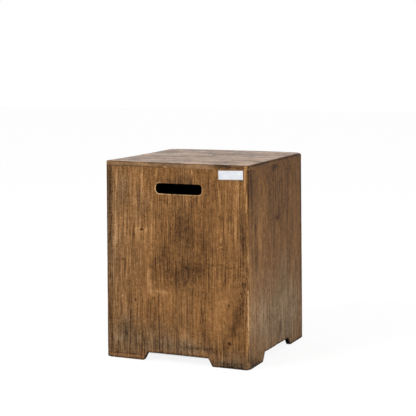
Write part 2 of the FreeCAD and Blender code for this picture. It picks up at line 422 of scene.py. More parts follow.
@dataclass
class Grain:
    """The grain of one cast face: what bends it, what stains it and how deep it is, in millimetres.

    The seed makes its noise differ from the other faces'. The boards go from left to right.
    """

    RIDGE_PITCH = 3.4
    RIDGE_HEIGHT = 0.28
    WAVE_HEIGHT = 0.45
    SEAM_WIDTH = 0.9
    SEAM_DEPTH = 0.55
    SEAM_TONE = -0.13
    SEAM_BLUR = 3.0

    seed: int
    boards: Sequence[Board]
    marks: Sequence[Mark]

    @classmethod
    def from_rows(cls, seed: int, boards: Rows, *tables: Rows) -> "Grain":
        """Makes a grain from rows of boards, streaks, patches, cross lines and knots, each in its fields' order."""
        marks = [kind(*row) for kind, rows in zip((Streak, Patch, CrossLine, Knot), tables) for row in rows]
        return cls(seed, [Board(*row) for row in boards], marks)

    @property
    def knots(self) -> list[Knot]:
        """The knots among the marks."""
        return [mark for mark in self.marks if isinstance(mark, Knot)]

    def _laid(self, quality: str, across: Array, along: Array) -> Array:
        """What all marks add up to in one quality, such as tone or ash."""
        shown = (getattr(mark, quality) * mark.cover(across, along) for mark in self.marks if getattr(mark, quality))
        return sum(shown, np.zeros(np.broadcast(across, along).shape))

    def seam_wander(self, along: Array) -> Array:
        """How far the seams between boards stray across the grain."""
        return 0.8 * ripple(along / 90, 0.5, self.seed + 3)

    def flow(self, across: Array, along: Array) -> Array:
        """The place across the grain before knots and growth bent it."""
        drift = 2.6 * clouds(across / 70, along / 210, self.seed, 2)
        return across + drift - sum(knot.bend(across, along) for knot in self.knots)

    def knot_reach(self, across: Array, along: Array) -> Array:
        """The distance to the nearest knot in its own half sizes, at most 4."""
        farthest = np.full(np.broadcast(across, along).shape, 4.0)
        return np.minimum.reduce([farthest, *(knot.reach(across, along) for knot in self.knots)])

    def board_values(self, across: Array, along: Array) -> tuple[Array, Array]:
        """The tone and ash of the board at each place.

        Args:
            across: Places across.
            along: Places along.

        Returns:
            Both values at each place.
        """
        tone = np.zeros(np.broadcast(across, along).shape)
        ash = np.zeros_like(tone)
        place = across - self.seam_wander(along)
        for board, before in zip(self.boards, (Board(-math.inf, 0.0), *self.boards)):
            step = ease((place - board.left) / self.SEAM_BLUR + 0.5)
            tone += (board.tone - before.tone) * step
            ash += (board.ash - before.ash) * step
        return tone, ash

    def seams(self, across: Array, along: Array) -> Array:
        """How strongly the seams between boards show, from 0 to 1.

        Args:
            across: Places across.
            along: Places along.

        Returns:
            The strength at each place.
        """
        total = np.zeros(np.broadcast(across, along).shape)
        place = across - self.seam_wander(along)
        for board in self.boards[1:]:
            strength = 0.55 + 0.45 * ripple(along / 45, board.left, self.seed)
            total += strength * bell((place - board.left) / self.SEAM_WIDTH)
        return np.clip(total, 0, 1)

    def tone(self, across: Array, along: Array) -> Array:
        """How much paler than plain the face is, from about -0.5 to 0.5."""
        boards, _ = self.board_values(across, along)
        return boards + self.SEAM_TONE * self.seams(across, along) + self._laid("tone", across, along)

    def ash(self, across: Array, along: Array) -> Array:
        """How greyed the stain is, from 0 to 1."""
        _, boards = self.board_values(across, along)
        return np.clip(boards + self._laid("ash", across, along), 0, 1)

    def calm(self, across: Array, along: Array) -> Array:
        """How far the fine lines fade, from 0 to 1."""
        return np.clip(self._laid("calm", across, along), 0, 1)

    def relief(self, across: Array, along: Array) -> Array:
        """How far the face stands out from flat, in millimetres.

        Args:
            across: Places across.
            along: Places along.

        Returns:
            The height at each place.
        """
        flowed = self.flow(across, along)
        height = self.RIDGE_HEIGHT * ripple(flowed / self.RIDGE_PITCH, along / 150, self.seed + 21)
        height += 0.5 * self.RIDGE_HEIGHT * ripple(flowed / (0.45 * self.RIDGE_PITCH), along / 60, self.seed + 22)
        height += self.WAVE_HEIGHT * clouds(across / 85, along / 120, self.seed + 23, 3)
        height += 0.10 * ripple(across / 25, along / 4.2, self.seed + 24)
        return height - self.SEAM_DEPTH * self.seams(across, along) - self._laid("groove", across, along)


# ---------------- each face's own pattern
# A row holds a mark's values in the order of its class's fields, and leaves out the last ones where they stay nought.


def front_grain() -> Grain:
    """The front's grain: straight boards, a row of knots down the right and a flame low on the right.

    Returns:
        The face's grain.
    """
    boards = (
        (-220, -0.1, 0.12), (-186, 0.03, 0.08), (-132, 0.02, 0.08), (-98, 0.03), (-64, -0.02), (0, -0.05, 0.08),
        (48, 0), (79, -0.03), (104, 0.03), (178, -0.03),
    )
    streaks = (
        (-171, 440, 524, 1.2, 0.5), (-166, 470, 524, 1.4, -0.26), (-95, 455, 522, 1.3, 0.34),
        (-52, 480, 524, 1.4, 0.34), (48, 496, 522, 2, 0.42), (-119, 460, 520, 1.2, 0.24),
        (-140, 470, 520, 1.3, -0.24), (-66, 20, 150, 1.1, -0.32), (-58, 20, 140, 1.3, -0.28),
        (-50, 20, 150, 1.1, -0.32), (-54, 24, 120, 1.1, 0.26), (-174, 300, 420, 1.5, 0.2),
        (-186, 320, 400, 1.1, -0.26), (-151, 300, 430, 1.1, -0.2), (-139, 250, 350, 1.1, 0.2),
        (-108, 330, 460, 1.1, -0.24), (-175, 290, 520, 2.2, 0.12), (-182, 235, 330, 2, 0.22),
        (-122, 360, 440, 1.9, 0.24), (-113, 330, 455, 1.8, 0.22), (-97, 430, 510, 1.8, 0.22),
        (-97, 300, 345, 1.6, 0.15), (-55, 470, 518, 1.8, 0.26), (-17, 425, 452, 2.4, 0.24),
        (-56, 270, 340, 1.6, 0.18), (46, 230, 330, 2, 0.14), (57, 290, 425, 1.8, 0.18), (77, 400, 480, 2.2, 0.2),
        (125, 390, 480, 2.4, 0.18), (142, 370, 480, 3.2, 0.2), (168, 330, 500, 3.4, 0.22), (176, 440, 500, 2, 0.18),
        # The pale streaks from 194.5 to 201 across are a painted highlight down the near rounded corner as well as
        # wear.
        (104, 38, 80, 2, 0.26), (194.5, 462, 540, 3.2, 0.46), (197.5, 400, 480, 2.6, 0.42),
        (199.5, 322, 415, 2, 0.3), (201, 205, 335, 1.4, 0.45), (199, 40, 122, 3, 0.34),
        (196.5, 230, 300, 1.4, -0.2), (198, 20, 82, 2.6, 0.2), (188, 250, 330, 1.8, -0.12),
        (-180, 130, 190, 3.2, 0.16), (-56, 60, 130, 2.2, 0.16), (-81, 190, 250, 3.5, 0.14),
        (-72, 186, 225, 2.4, 0.12), (-134, 70, 275, 1.5, -0.24, 0.3), (-129, 60, 210, 1.3, -0.18, 0.2),
        (-102, 60, 215, 1.6, -0.22, 0.3), (-97, 110, 180, 1.2, -0.16), (-68, 195, 275, 2, -0.22, 0.3),
        (-58, 195, 300, 1.6, -0.2, 0.2), (-71, 60, 175, 1.5, -0.24, 0.3), (-62, 60, 150, 1.3, -0.2, 0.2),
        (-52, 15, 140, 1.4, -0.2, 0.3), (-62, 12, 60, 1.4, -0.2, 0.2), (-32, 205, 265, 1.5, -0.18),
        (0, 190, 275, 1.8, -0.26, 0.4), (0, 360, 500, 1.2, -0.12, 0.3), (-22, 410, 450, 1.8, -0.18),
        (7, 200, 250, 1.4, -0.16), (-9, 75, 205, 2.2, -0.16), (30, 100, 180, 3.4, -0.12),
        (42, 395, 500, 1.4, -0.12), (78, 270, 395, 2.2, -0.2, 0.2), (86, 250, 330, 1.6, -0.16),
        (75, 165, 210, 1.8, -0.3, 0.4), (84, 165, 210, 1.6, -0.26, 0.4), (73.8, 50, 172, 1.7, -0.32, 0.3),
        (82, 60, 172, 1.5, -0.28, 0.2), (94, 200, 260, 1.6, -0.16), (101, 85, 170, 1.5, -0.2, 0.3),
        (93, 440, 500, 1.8, -0.16), (119, 380, 490, 1.5, -0.14), (137, 225, 250, 1.6, -0.36, 0.5),
        (162, 230, 300, 2, -0.18), (176, 226, 272, 1.5, -0.34, 0.4), (113.5, 178, 207, 1.9, -0.3, 0.2),
        (112, 20, 60, 2.2, -0.16), (139, 15, 50, 1.8, -0.18), (-192, 12, 150, 1.8, -0.2, 0.2),
        (-185, 100, 230, 1.4, -0.16), (-42, 290, 520, 1.4, -0.1),
    )
    patches = (
        (-194, 300, 8, 60, -0.08, 0.2), (-191, 470, 8, 80, -0.2, 0.2), (18, 376, 22, 30, -0.1),
        (16, 387, 8, 9, -0.1), (8, 345, 30, 34, -0.1, 0, 0, 0.5), (56, 330, 26, 52, -0.17),
        (-22, 330, 22, 40, -0.06), (-34, 294, 10, 20, -0.18, 0, 0, 0.4), (-85, 402, 8, 16, -0.16),
        (-98, 350, 24, 80, 0.08, 0.05), (60, 257, 24, 16, -0.2, 0, 0, 0.4), (22, 240, 44, 28, -0.15, 0, 0, 0.4),
        (-148, 96, 26, 38, -0.15, 0.45), (-140, 50, 70, 32, -0.16, 0.5), (-45, 50, 54, 30, -0.04, 0.6),
        (45, 135, 60, 46, 0.09), (-190, 290, 34, 190, -0.02, 0.3), (45, 45, 50, 26, 0, 0.5),
        (150, 11, 52, 13, -0.16, 0.9), (124, 162, 26, 52, 0.14, 0, 0.18, 0.85), (10, 150, 60, 60, 0, 0, 0, 0.3),
        (96, 430, 22, 70, 0, 0, 0, 0.5), (60, 345, 40, 50, 0, 0, 0, 0.35), (150, 110, 36, 50, 0, 0, 0, 0.25),
        (112, 105, 16, 34, 0.1), (171, 140, 11, 46, -0.27, 0, 0.25, 0.5), (157, 92, 12, 26, -0.2, 0, 0.4, 0.3),
        (150, 45, 44, 24, -0.16), (28, 45, 26, 26, 0.08, 0.25), (150, 11, 46, 8, -0.12, 0.3),
        (168, 30, 40, 22, 0.04, 0.45), (185, 345, 9, 56, -0.14, 0.25), (150, 385, 36, 80, -0.06),
        (124, 362, 14, 22, 0.12), (22, 76, 8, 20, 0.28, 0, 0, 0.5), (-77, 212, 8, 28, 0.18, 0.1, 0, 0.4),
        (-56, 187, 34, 8, 0.22, 0.1, 0, 0.6), (-28, 482, 30, 7, -0.16), (22, 481, 26, 6, -0.1),
        (42, 507, 26, 7, 0.12), (-20, 420, 40, 10, 0.1), (-118, 470, 30, 50, 0.08), (30, 490, 26, 14, -0.08, 0.12),
        (-92, 425, 22, 30, -0.06, 0.2), (-76, 480, 14, 40, -0.1), (-25, 250, 20, 40, -0.1),
        (-60, 96, 50, 28, -0.03, 0.2), (-155, 460, 16, 36, -0.04, 0.35), (-18, 170, 24, 40, 0.1),
        (-165, 56, 20, 12, 0.14, 0.2), (52, 62, 16, 14, 0.1), (186, 225, 10, 46, -0.07, 0.15),
        (60, 47, 44, 6, -0.2, 0.1), (-20, 40, 34, 16, -0.08, 0.25), (-150, 22, 46, 12, -0.08, 0.25),
        (-98, 352, 20, 9, 0.28),
    )
    cross_lines = (
        (-112, -91, 352, 1.3, -0.6, 0.5, 0.3), (-118, -98, 356, 1.3, 0.14, 0.6),
        (-52, -28, 433, 1.2, -0.32, 1.6, 0.3), (-74, -52, 431, 1.1, 0.16, 1.6), (-74, -58, 437, 1, -0.2, 1.6),
        (-110, -78, 420, 1.2, -0.2, 1.4, 0.2), (2, 64, 419, 1, -0.12, 0.8), (-24, 12, 357, 1, -0.16, 0.8, 0.2),
        (-24, 10, 350, 1, -0.14, 0.8, 0.2), (-22, 12, 343, 1, -0.16, 0.8, 0.2), (-20, 10, 337, 1, -0.12, 0.8, 0.2),
        (-76, -22, 190, 1.6, 0.18, 1), (-74, -34, 186, 1, -0.2, 1, 0.2), (-74, -30, 181, 1, -0.16, 1, 0.2),
        (-76, -30, 178, 1.4, 0.12, 1), (-50, 90, 85, 1.4, -0.14, 1.2, 0.2), (20, 104, 47, 2.2, -0.16, 1.4),
        (30, 100, 33, 1.6, 0.14, 1), (-205, -96, 15, 1.5, -0.4, 1.4, 0.5), (-205, -100, 10, 1.6, 0.2, 0.8),
        (-90, 94, 25, 1.6, -0.1, 0.8), (-180, -145, 269, 1.3, -0.36, 3.2, 0.2), (92, 136, 271, 1.3, -0.4, 3.6, 0.3),
        (134, 168, 266, 1.3, -0.38, 3.8, 0.3), (117, 137, 336, 1.2, 0.22, 2), (118, 136, 330, 1, -0.3, 1.6, 0.2),
        (150, 182, 218, 1.4, -0.3, 4, 0.3), (-56, -34, 431, 1.2, -0.34, 1.6, 0.3), (60, 100, 60, 1.6, -0.16, 2),
        (116, 190, 14, 2, -0.24, 2.4, 0.3), (116, 190, 5, 2.2, -0.3, 1.8, 0.3),
    )
    knots = (
        (-97, 353, 4.6, 2.2, -0.8, 0.6), (-118, 163, 3.2, 3, -0.4, 1), (-187, 357, 3.2, 1.6, -0.35, 0.6),
        (127, 324, 4, 4.6, -0.16, 1.2, 0.4), (190, 225, 6.5, 8, -0.38, 1), (184, 200, 5, 3, -0.25, 0.8),
        (147, 167, 2.6, 5.5, -0.42, 1), (135, 122, 2.6, 4.5, -0.26, 0.8), (149, 67, 4.2, 5.5, -0.45, 1),
        (30, 258, 3, 4, -0.3, 0.8),
    )
    return Grain.from_rows(1, boards, streaks, patches, cross_lines, knots)


def right_grain() -> Grain:
    """The right side's grain: broader, cloudier boards, paled and greyed towards the floor by a painted reflection of
    the floor.

    Returns:
        The face's grain.
    """
    boards = (
        (-220, 0.04), (-188, 0), (-140, 0.03), (-75, 0), (12, 0.01), (92, 0), (152, -0.02),
    )
    # The first streak is painted shade down the near corner under the top, the pale one at -193 a painted highlight by
    # that corner, and the last painted shade down the far corner.
    streaks = (
        (-200, 430, 540, 3, -0.26), (-193, 200, 310, 4, 0.16), (113, 75, 128, 1.8, 0.26), (69, 110, 140, 1.6, 0.24),
        (-160, 340, 410, 2.6, -0.16), (-128, 250, 400, 4, 0.14), (-115, 230, 300, 3, -0.1),
        (85, 200, 520, 3, -0.14, 0.2), (90, 180, 360, 2.4, 0.1), (112, 140, 230, 3.6, 0.14),
        (120, 240, 370, 2.6, -0.1), (140, 60, 330, 2.4, -0.1), (170, 100, 430, 3, 0.1),
        (-4, 130, 210, 2.6, -0.18, 0.2), (65, 110, 150, 2.4, 0.14), (75, 110, 160, 2, -0.12),
        (98, 10, 90, 2.2, -0.16), (-35, 230, 320, 2.6, -0.1), (30, 300, 400, 2.8, -0.08), (-100, 60, 150, 3, -0.08),
        (190, 100, 510, 3.4, -0.3, 0.3),
    )
    # The second and third patches are a painted reflection of the floor, paler and greyer over the lower half; the
    # fourth is a painted highlight by the near corner.
    patches = (
        (0, 520, 260, 90, -0.12), (-60, 110, 160, 110, 0.12, 0.8), (110, 90, 120, 100, 0.08, 0.75),
        (-185, 170, 34, 110, 0.2), (-135, 135, 34, 70, 0.08), (-120, 320, 13, 60, 0.14), (-90, 400, 18, 36, 0.12),
        (-178, 450, 8, 60, -0.12), (-150, 300, 12, 40, -0.14), (5, 375, 22, 16, -0.16), (-15, 512, 22, 8, -0.22),
        (40, 400, 44, 60, -0.08), (-50, 395, 20, 50, -0.04), (60, 230, 36, 60, -0.04, 0.4),
        (130, 470, 70, 80, -0.05), (110, 170, 12, 40, 0.16), (10, 210, 16, 60, 0.06), (-110, 150, 34, 70, 0.1, 0.1),
        (22, 68, 7, 22, -0.22, 0.1), (-190, 480, 12, 60, -0.14), (-172, 12, 40, 16, -0.34, 0.2),
        (-196, 36, 8, 24, -0.14, 0.2), (20, 64, 6, 22, -0.16, 0.1),
    )
    cross_lines = (
        (-150, -95, 480, 3, 0.12, 3), (-10, 14, 125, 1.6, 0.24, 1), (20, 80, 440, 3, 0.08, 3),
        (-60, 10, 372, 2, -0.14, 3), (-203, 203, 24, 3, -0.1, 2), (-203, 203, 5, 3.4, -0.2, 2),
    )
    knots = (
        (2, 372, 7, 7, -0.3, 1.2), (-155, 370, 7, 7, -0.16, 1, 0.4), (-150, 315, 6, 5, -0.2, 1, 0.4),
        (-85, 262, 5, 4, -0.14, 1, 0.4), (105, 500, 5, 6, -0.2, 1, 0.4),
    )
    return Grain.from_rows(101, boards, streaks, patches, cross_lines, knots)


def scattered_grain(seed: int, board_tones: Sequence[float]) -> Grain:
    """A plainer face's grain, with its streaks, stains and knots strewn by a seeded draw.

    Args:
        seed: Seeds the draw, and the face's noise.
        board_tones: One tone for each board; the boards share the width unevenly.

    Returns:
        The face's grain.
    """
    draw = np.random.default_rng(seed)
    half = SIZES.half_width
    top = SIZES.slab_underside
    lefts = np.linspace(-half, half, len(board_tones) + 1)[:-1] + draw.uniform(-16, 16, len(board_tones))
    boards = [Board(left, tone, draw.uniform(0, 0.2)) for left, tone in zip(lefts.tolist(), board_tones)]
    marks: list[Mark] = []
    for _ in range(46):
        start = draw.uniform(0, top - 60)
        length = draw.uniform(50, 190)
        tone = float(draw.choice((-0.2, -0.15, 0.16, 0.2)))
        groove = 0.3 if tone < 0 else 0.0
        width = draw.uniform(1.2, 2.6)
        marks.append(Streak(draw.uniform(-half, half), start, start + length, width, tone, groove))
    for _ in range(24):
        across, along = draw.uniform((-half, 0), (half, top)).tolist()
        half_width, half_length = draw.uniform((8, 18), (38, 95)).tolist()
        tone, greyed, calm = draw.uniform((-0.2, -0.3, 0.0), (0.16, 0.5, 0.6)).tolist()
        marks.append(Patch(across, along, half_width, half_length, tone, max(greyed, 0.0), calm=calm))
    marks.append(Patch(0, 26, half, 30, -0.05, 0.40))
    for _ in range(7):
        across, along = draw.uniform((-half + 20, 40), (half - 20, top - 40)).tolist()
        half_width, half_length = draw.uniform((2.5, 3.0), (6.5, 8.0)).tolist()
        marks.append(Knot(across, along, half_width, half_length, -0.4))
    for _ in range(9):
        start, along = draw.uniform((-half, 20), (half - 60, top - 20)).tolist()
        marks.append(CrossLine(start, start + 50, along, 1.3, -0.16, 1.6, 0.2))
    marks.append(CrossLine(-half, half, 13, 1.6, -0.26, 1.4, 0.4))
    return Grain(seed, boards, marks)


def top_grain() -> Grain:
    """The top's grain, which runs from left to right: across is from front to back.

    Returns:
        The face's grain.
    """
    boards = (
        (-230, 0.02, 0.05), (-142, -0.02, 0.1), (-60, 0.03, 0.15), (22, -0.04, 0.1), (96, 0.05, 0.1), (160, 0, 0.1),
    )
    streaks = (
        (-212, -205, -25, 1.6, -0.26, 0.3), (-206, -120, -60, 3.2, 0.12), (-207, 90, 205, 4, -0.24, 0.3, 0.1),
        (-198, -160, -40, 2.4, -0.14), (-176, -190, 0, 2.6, -0.14), (-150, 0, 190, 2.6, 0.12),
        (-112, -140, 60, 2.2, -0.16, 0.2), (-88, 20, 160, 3.2, 0.14), (-40, -180, -40, 2.8, -0.16, 0.2),
        (-15, 60, 200, 2.4, -0.12), (55, -150, 40, 3, 0.14), (70, 30, 180, 2.4, -0.16, 0.2),
        (120, -190, -20, 2.6, -0.12), (135, -40, 130, 3.2, 0.12), (180, -120, 90, 2.4, -0.14),
        (118, -110, -30, 5, -0.26, 0.3), (-128, 40, 200, 2, -0.26, 0.3), (-64, 80, 205, 1.8, -0.24, 0.3),
        (-170, -30, 110, 2, -0.28, 0.3), (-90, -205, -90, 2, -0.26, 0.3), (20, 100, 205, 2.2, -0.24, 0.3),
        (-20, -200, -110, 2.4, -0.22, 0.2), (150, -100, 60, 2.4, -0.24, 0.2), (195, -160, 200, 2.6, -0.2, 0.2),
    )
    patches = (
        (128, -48, 4, 24, -0.5, 0, -1.45), (74, -12, 4.5, 26, -0.6, 0, -1.7), (-203, 140, 5, 9, -0.4),
        (-197, 120, 7, 12, -0.3), (-150, -150, 10, 40, -0.16), (-110, -60, 10, 50, 0.16), (-60, -150, 12, 36, 0.14),
        (-20, -120, 10, 40, -0.14), (-130, 60, 12, 60, 0.12), (-95, 130, 10, 40, -0.12), (0, 130, 14, 50, 0.12),
        (-190, -165, 24, 40, -0.08), (-100, -180, 90, 36, -0.03), (-60, 170, 150, 50, 0.1),
        (-190, 120, 20, 60, 0.1), (-185, -30, 22, 50, -0.08), (60, -120, 34, 70, 0.08, 0.2),
        (-60, 140, 30, 50, 0.1), (-160, 100, 24, 40, -0.12, 0.1),
    )
    knots = (
        (112, -18, 4, 9, -0.4, 1), (60, 8, 3, 12, -0.36, 1), (-150, 118, 4.5, 7, -0.36, 1),
        (-185, 150, 3, 5, -0.3, 1), (-70, -90, 4, 6, -0.34, 1), (150, 110, 4, 6, -0.3, 1),
    )
    return Grain.from_rows(301, boards, streaks, patches, (), knots)


# ---------------- work at the bench


class Bench:
    """Blender's operators, used on one piece at a time."""

    RELIEF_LEVELS = 250

    @staticmethod
    def clear() -> None:
        """Leaves edit mode and deselects everything."""
        if bpy.context.object and bpy.context.object.mode != "OBJECT":
            bpy.ops.object.mode_set(mode="OBJECT")
        bpy.ops.object.select_all(action="DESELECT")

    @classmethod
    def pick(cls, *pieces: Piece) -> None:
        """Selects these pieces alone, and makes the first one active.

        Args:
            *pieces: The pieces.
        """
        cls.clear()
        for piece in pieces:
            piece.select_set(True)
        bpy.context.view_layer.objects.active = pieces[0]

    @classmethod
    def take(cls, name: str) -> Piece:
        """Names the primitive that was just added, and returns it with its place in its mesh.

        Args:
            name: Its new name.

        Returns:
            The piece.
        """
        piece = bpy.context.object
        piece.name = name
        piece.data.name = name
        cls.settle(piece)
        return piece

    @classmethod
    def settle(cls, piece: Piece) -> None:
        """Moves a piece's place, turn and scale into its mesh, so that its object sits at the origin."""
        cls.pick(piece)
        bpy.ops.object.transform_apply(location=True, rotation=True, scale=True)

    @classmethod
    def block(cls, name: str, low: Sequence[float], high: Sequence[float]) -> Piece:
        """A box between two corners, given in millimetres.

        Args:
            name: The box's name.
            low: Its lowest corner.
            high: Its highest corner.

        Returns:
            The box.
        """
        cls.clear()
        low, high = Vector(low) * MM, Vector(high) * MM
        bpy.ops.mesh.primitive_cube_add(size=1, location=(low + high) / 2, scale=high - low)
        return cls.take(name)

    @classmethod
    def sheet_of_faces(cls, name: str, columns: int, rows: int) -> Piece:
        """A flat grid of one metre square about the origin, with so many columns and rows.

        Args:
            name: The grid's name.
            columns: Its columns.
            rows: Its rows.

        Returns:
            The grid.
        """
        cls.clear()
        bpy.ops.mesh.primitive_grid_add(x_subdivisions=columns, y_subdivisions=rows, size=1)
        return cls.take(name)

    @classmethod
    def edit(cls, piece: Piece) -> bmesh.types.BMesh:
        """Opens a piece in edit mode with nothing selected, and returns its mesh there.

        Args:
            piece: The piece.

        Returns:
            Its mesh.
        """
        cls.pick(piece)
        bpy.ops.object.mode_set(mode="EDIT")
        bpy.ops.mesh.select_all(action="DESELECT")
        return bmesh.from_edit_mesh(piece.data)

    @staticmethod
    def select_open_edges() -> None:
        """Selects the open edges of the mesh in edit mode."""
        bpy.ops.mesh.select_non_manifold(
            extend=False, use_wire=False, use_boundary=True, use_multi_face=False, use_non_contiguous=False,
            use_verts=False,
        )

    @staticmethod
    def extruded(piece: Piece) -> bmesh.types.BMesh:
        """Extrudes what is selected, without moving it yet, and returns the mesh."""
        bpy.ops.mesh.extrude_region_move()
        return bmesh.from_edit_mesh(piece.data)

    @staticmethod
    def round_sides(mesh: bmesh.types.BMesh, radius: float, segments: int = 6) -> None:
        """Rounds the edges that run from a block's front to its back, by a radius in millimetres.

        Args:
            mesh: The block's mesh in edit mode.
            radius: The radius.
            segments: Faces in each rounding.
        """
        for edge in mesh.edges:
            first, second = edge.verts
            edge.select = abs(first.co.y - second.co.y) > 0.5 * MM
        bpy.ops.mesh.bevel(offset=radius * MM, segments=segments, affect="EDGES")

    @classmethod
    def close_outwards(cls, piece: Piece) -> None:
        """Turns every face outwards and leaves edit mode.

        Args:
            piece: The piece.
        """
        bpy.ops.mesh.select_all(action="SELECT")
        bpy.ops.mesh.normals_make_consistent(inside=False)
        cls.close(piece)

    @classmethod
    def close(cls, piece: Piece) -> None:
        """Writes the edited mesh back and leaves edit mode."""
        bmesh.update_edit_mesh(piece.data)
        bpy.ops.object.mode_set(mode="OBJECT")

    @classmethod
    def apply(cls, piece: Piece, kind: str, **settings: Any) -> None:
        """Puts a modifier on a piece, sets it and applies it at once.

        Args:
            piece: The piece.
            kind: The modifier's type.
            **settings: Its settings, by name.
        """
        cls.pick(piece)
        modifier = piece.modifiers.new(kind.title(), kind)
        for key, value in settings.items():
            setattr(modifier, key, value)
        bpy.ops.object.modifier_apply(modifier=modifier.name)

    @classmethod
    def bevel(cls, piece: Piece, width: float, segments: int = 3, angle: float = 40) -> None:
        """Rounds a piece's sharp edges by a width in millimetres.

        Args:
            piece: The piece.
            width: The width.
            segments: Faces in each rounding.
            angle: How sharp an edge has to be, in degrees.
        """
        cls.apply(
            piece, "BEVEL", width=width * MM, segments=segments, limit_method="ANGLE",
            angle_limit=math.radians(angle), harden_normals=False,
        )

    @classmethod
    def smooth(cls, piece: Piece, angle: float = 50) -> None:
        """Shades a piece smooth, but for edges sharper than an angle in degrees."""
        cls.pick(piece)
        bpy.ops.object.shade_smooth_by_angle(angle=math.radians(angle))

    @classmethod
    def join(cls, whole: Piece, *others: Piece) -> None:
        """Joins other pieces into the first."""
        cls.pick(whole, *others)
        bpy.ops.object.join()

    @classmethod
    def cut_away(cls, piece: Piece, cutter: Piece) -> None:
        """Takes a cutter's solid out of a piece; the cutter stays."""
        cls.apply(piece, "BOOLEAN", operation="DIFFERENCE", object=cutter, solver="EXACT")

    @classmethod
    def scrap(cls, *pieces: Piece) -> None:
        """Throws helper pieces away."""
        for piece in pieces:
            bpy.data.objects.remove(piece)

    @staticmethod
    def points(piece: Piece) -> Array:
        """A piece's vertices, in millimetres, one row each."""
        return Bench.vectors(piece, "position") / MM

    @staticmethod
    def set_points(piece: Piece, points: Array) -> None:
        """Moves a piece's vertices to new places, in millimetres."""
        piece.data.vertices.foreach_set("co", (points * MM).ravel())
        piece.data.update()

    @staticmethod
    def vectors(piece: Piece, name: str) -> Array:
        """A named vector of a piece's vertices.

        Args:
            piece: The piece.
            name: The vector's name.

        Returns:
            One row for each vertex.
        """
        flat = np.empty(len(piece.data.vertices) * 3)
        piece.data.attributes[name].data.foreach_get("vector", flat)
        return flat.reshape(-1, 3)

    @staticmethod
    def set_vectors(piece: Piece, name: str, rows: Array) -> None:
        """Stores a vector with each of a piece's vertices, for its finish to read."""
        stored = piece.data.attributes.get(name) or piece.data.attributes.new(name, "FLOAT_VECTOR", "POINT")
        stored.data.foreach_set("vector", np.ascontiguousarray(rows, dtype=np.float32).ravel())

    @classmethod
    def raise_relief(cls, piece: Piece, heights: Array) -> None:
        """Carves a relief into a piece by displacing its vertices along their normals.

        Args:
            piece: The piece.
            heights: How far each vertex goes outwards, in millimetres.
        """
        for word, sign in (("raised", 1), ("sunk", -1)):
            share = np.maximum(sign * heights, 0)
            most = float(share.max())
            if most == 0:
                continue
            group = piece.vertex_groups.new(name=word)
            levels = np.round(share / most * cls.RELIEF_LEVELS).astype(int)
            order = np.argsort(levels, kind="stable")
            starts = np.searchsorted(levels[order], np.arange(1, cls.RELIEF_LEVELS + 2))
            for level, (start, end) in enumerate(zip(starts, starts[1:]), 1):
                if start < end:
                    group.add(order[start:end].tolist(), level / cls.RELIEF_LEVELS, "REPLACE")
            cls.apply(
                piece, "DISPLACE", strength=sign * most * MM, mid_level=0.0, direction="NORMAL", vertex_group=word
            )
        piece.vertex_groups.clear()

    @staticmethod
    def finish_piece(piece: Piece, finish: Material, slot: str, *nodes: str) -> None:
        """Gives a piece its finish, hangs it on the body, hides the nodes that it stands for and logs them.

        Args:
            piece: The finished piece.
            finish: Its material.
            slot: Not used.
            nodes: The nodes that the piece stands for.
        """
        piece.data.materials.clear()
        piece.data.materials.append(finish)
        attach(piece, BODY)
        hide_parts(*nodes)
        log.info("%s: %d faces, stands for %s", piece.name, len(piece.data.polygons), ", ".join(nodes))


# ---------------- finishes


class Signal:
    """A value that changes over a surface: one node's output, with sums that add Math nodes."""

    def __init__(self, work: "NodeWork", socket: bpy.types.NodeSocket) -> None:
        """Wraps a socket of a node tree."""
        self.work = work
        self.socket = socket

    def combined(self, operation: str, other: Any = 0.0, turned: bool = False, clamp: bool = False) -> "Signal":
        """Adds a Math node, with the other value first where it is turned, and perhaps held between 0 and 1."""
        first, second = (other, self) if turned else (self, other)
        return self.work.node("ShaderNodeMath", {"operation": operation, "use_clamp": clamp}, {0: first, 1: second})

    __add__ = __radd__ = partialmethod(combined, "ADD")
    __mul__ = __rmul__ = partialmethod(combined, "MULTIPLY")
    __sub__ = partialmethod(combined, "SUBTRACT")
    __rsub__ = partialmethod(combined, "SUBTRACT", turned=True)

    def clipped(self) -> "Signal":
        """This value, held between 0 and 1."""
        return self.combined("ADD", clamp=True)

    def sine(self) -> "Signal":
        """The sine of this value."""
        return self.combined("SINE")

    def step(self, start: float, end: float) -> "Signal":
        """A smooth step from 0 to 1 as this value goes from start to end."""
        inputs = {"Value": self, "From Min": start, "From Max": end}
        return self.work.node("ShaderNodeMapRange", {"interpolation_type": "SMOOTHSTEP"}, inputs)


def srgb(*channels: int) -> Colour:
    """A colour as a painter's card gives it, 0 to 255 a channel, turned to the linear one that a shader takes."""
    shares = (channel / 255 for channel in channels)
    return (*(share / 12.92 if share <= 0.04045 else ((share + 0.055) / 1.055) ** 2.4 for share in shares), 1.0)


WHITE = (1.0, 1.0, 1.0, 1.0)


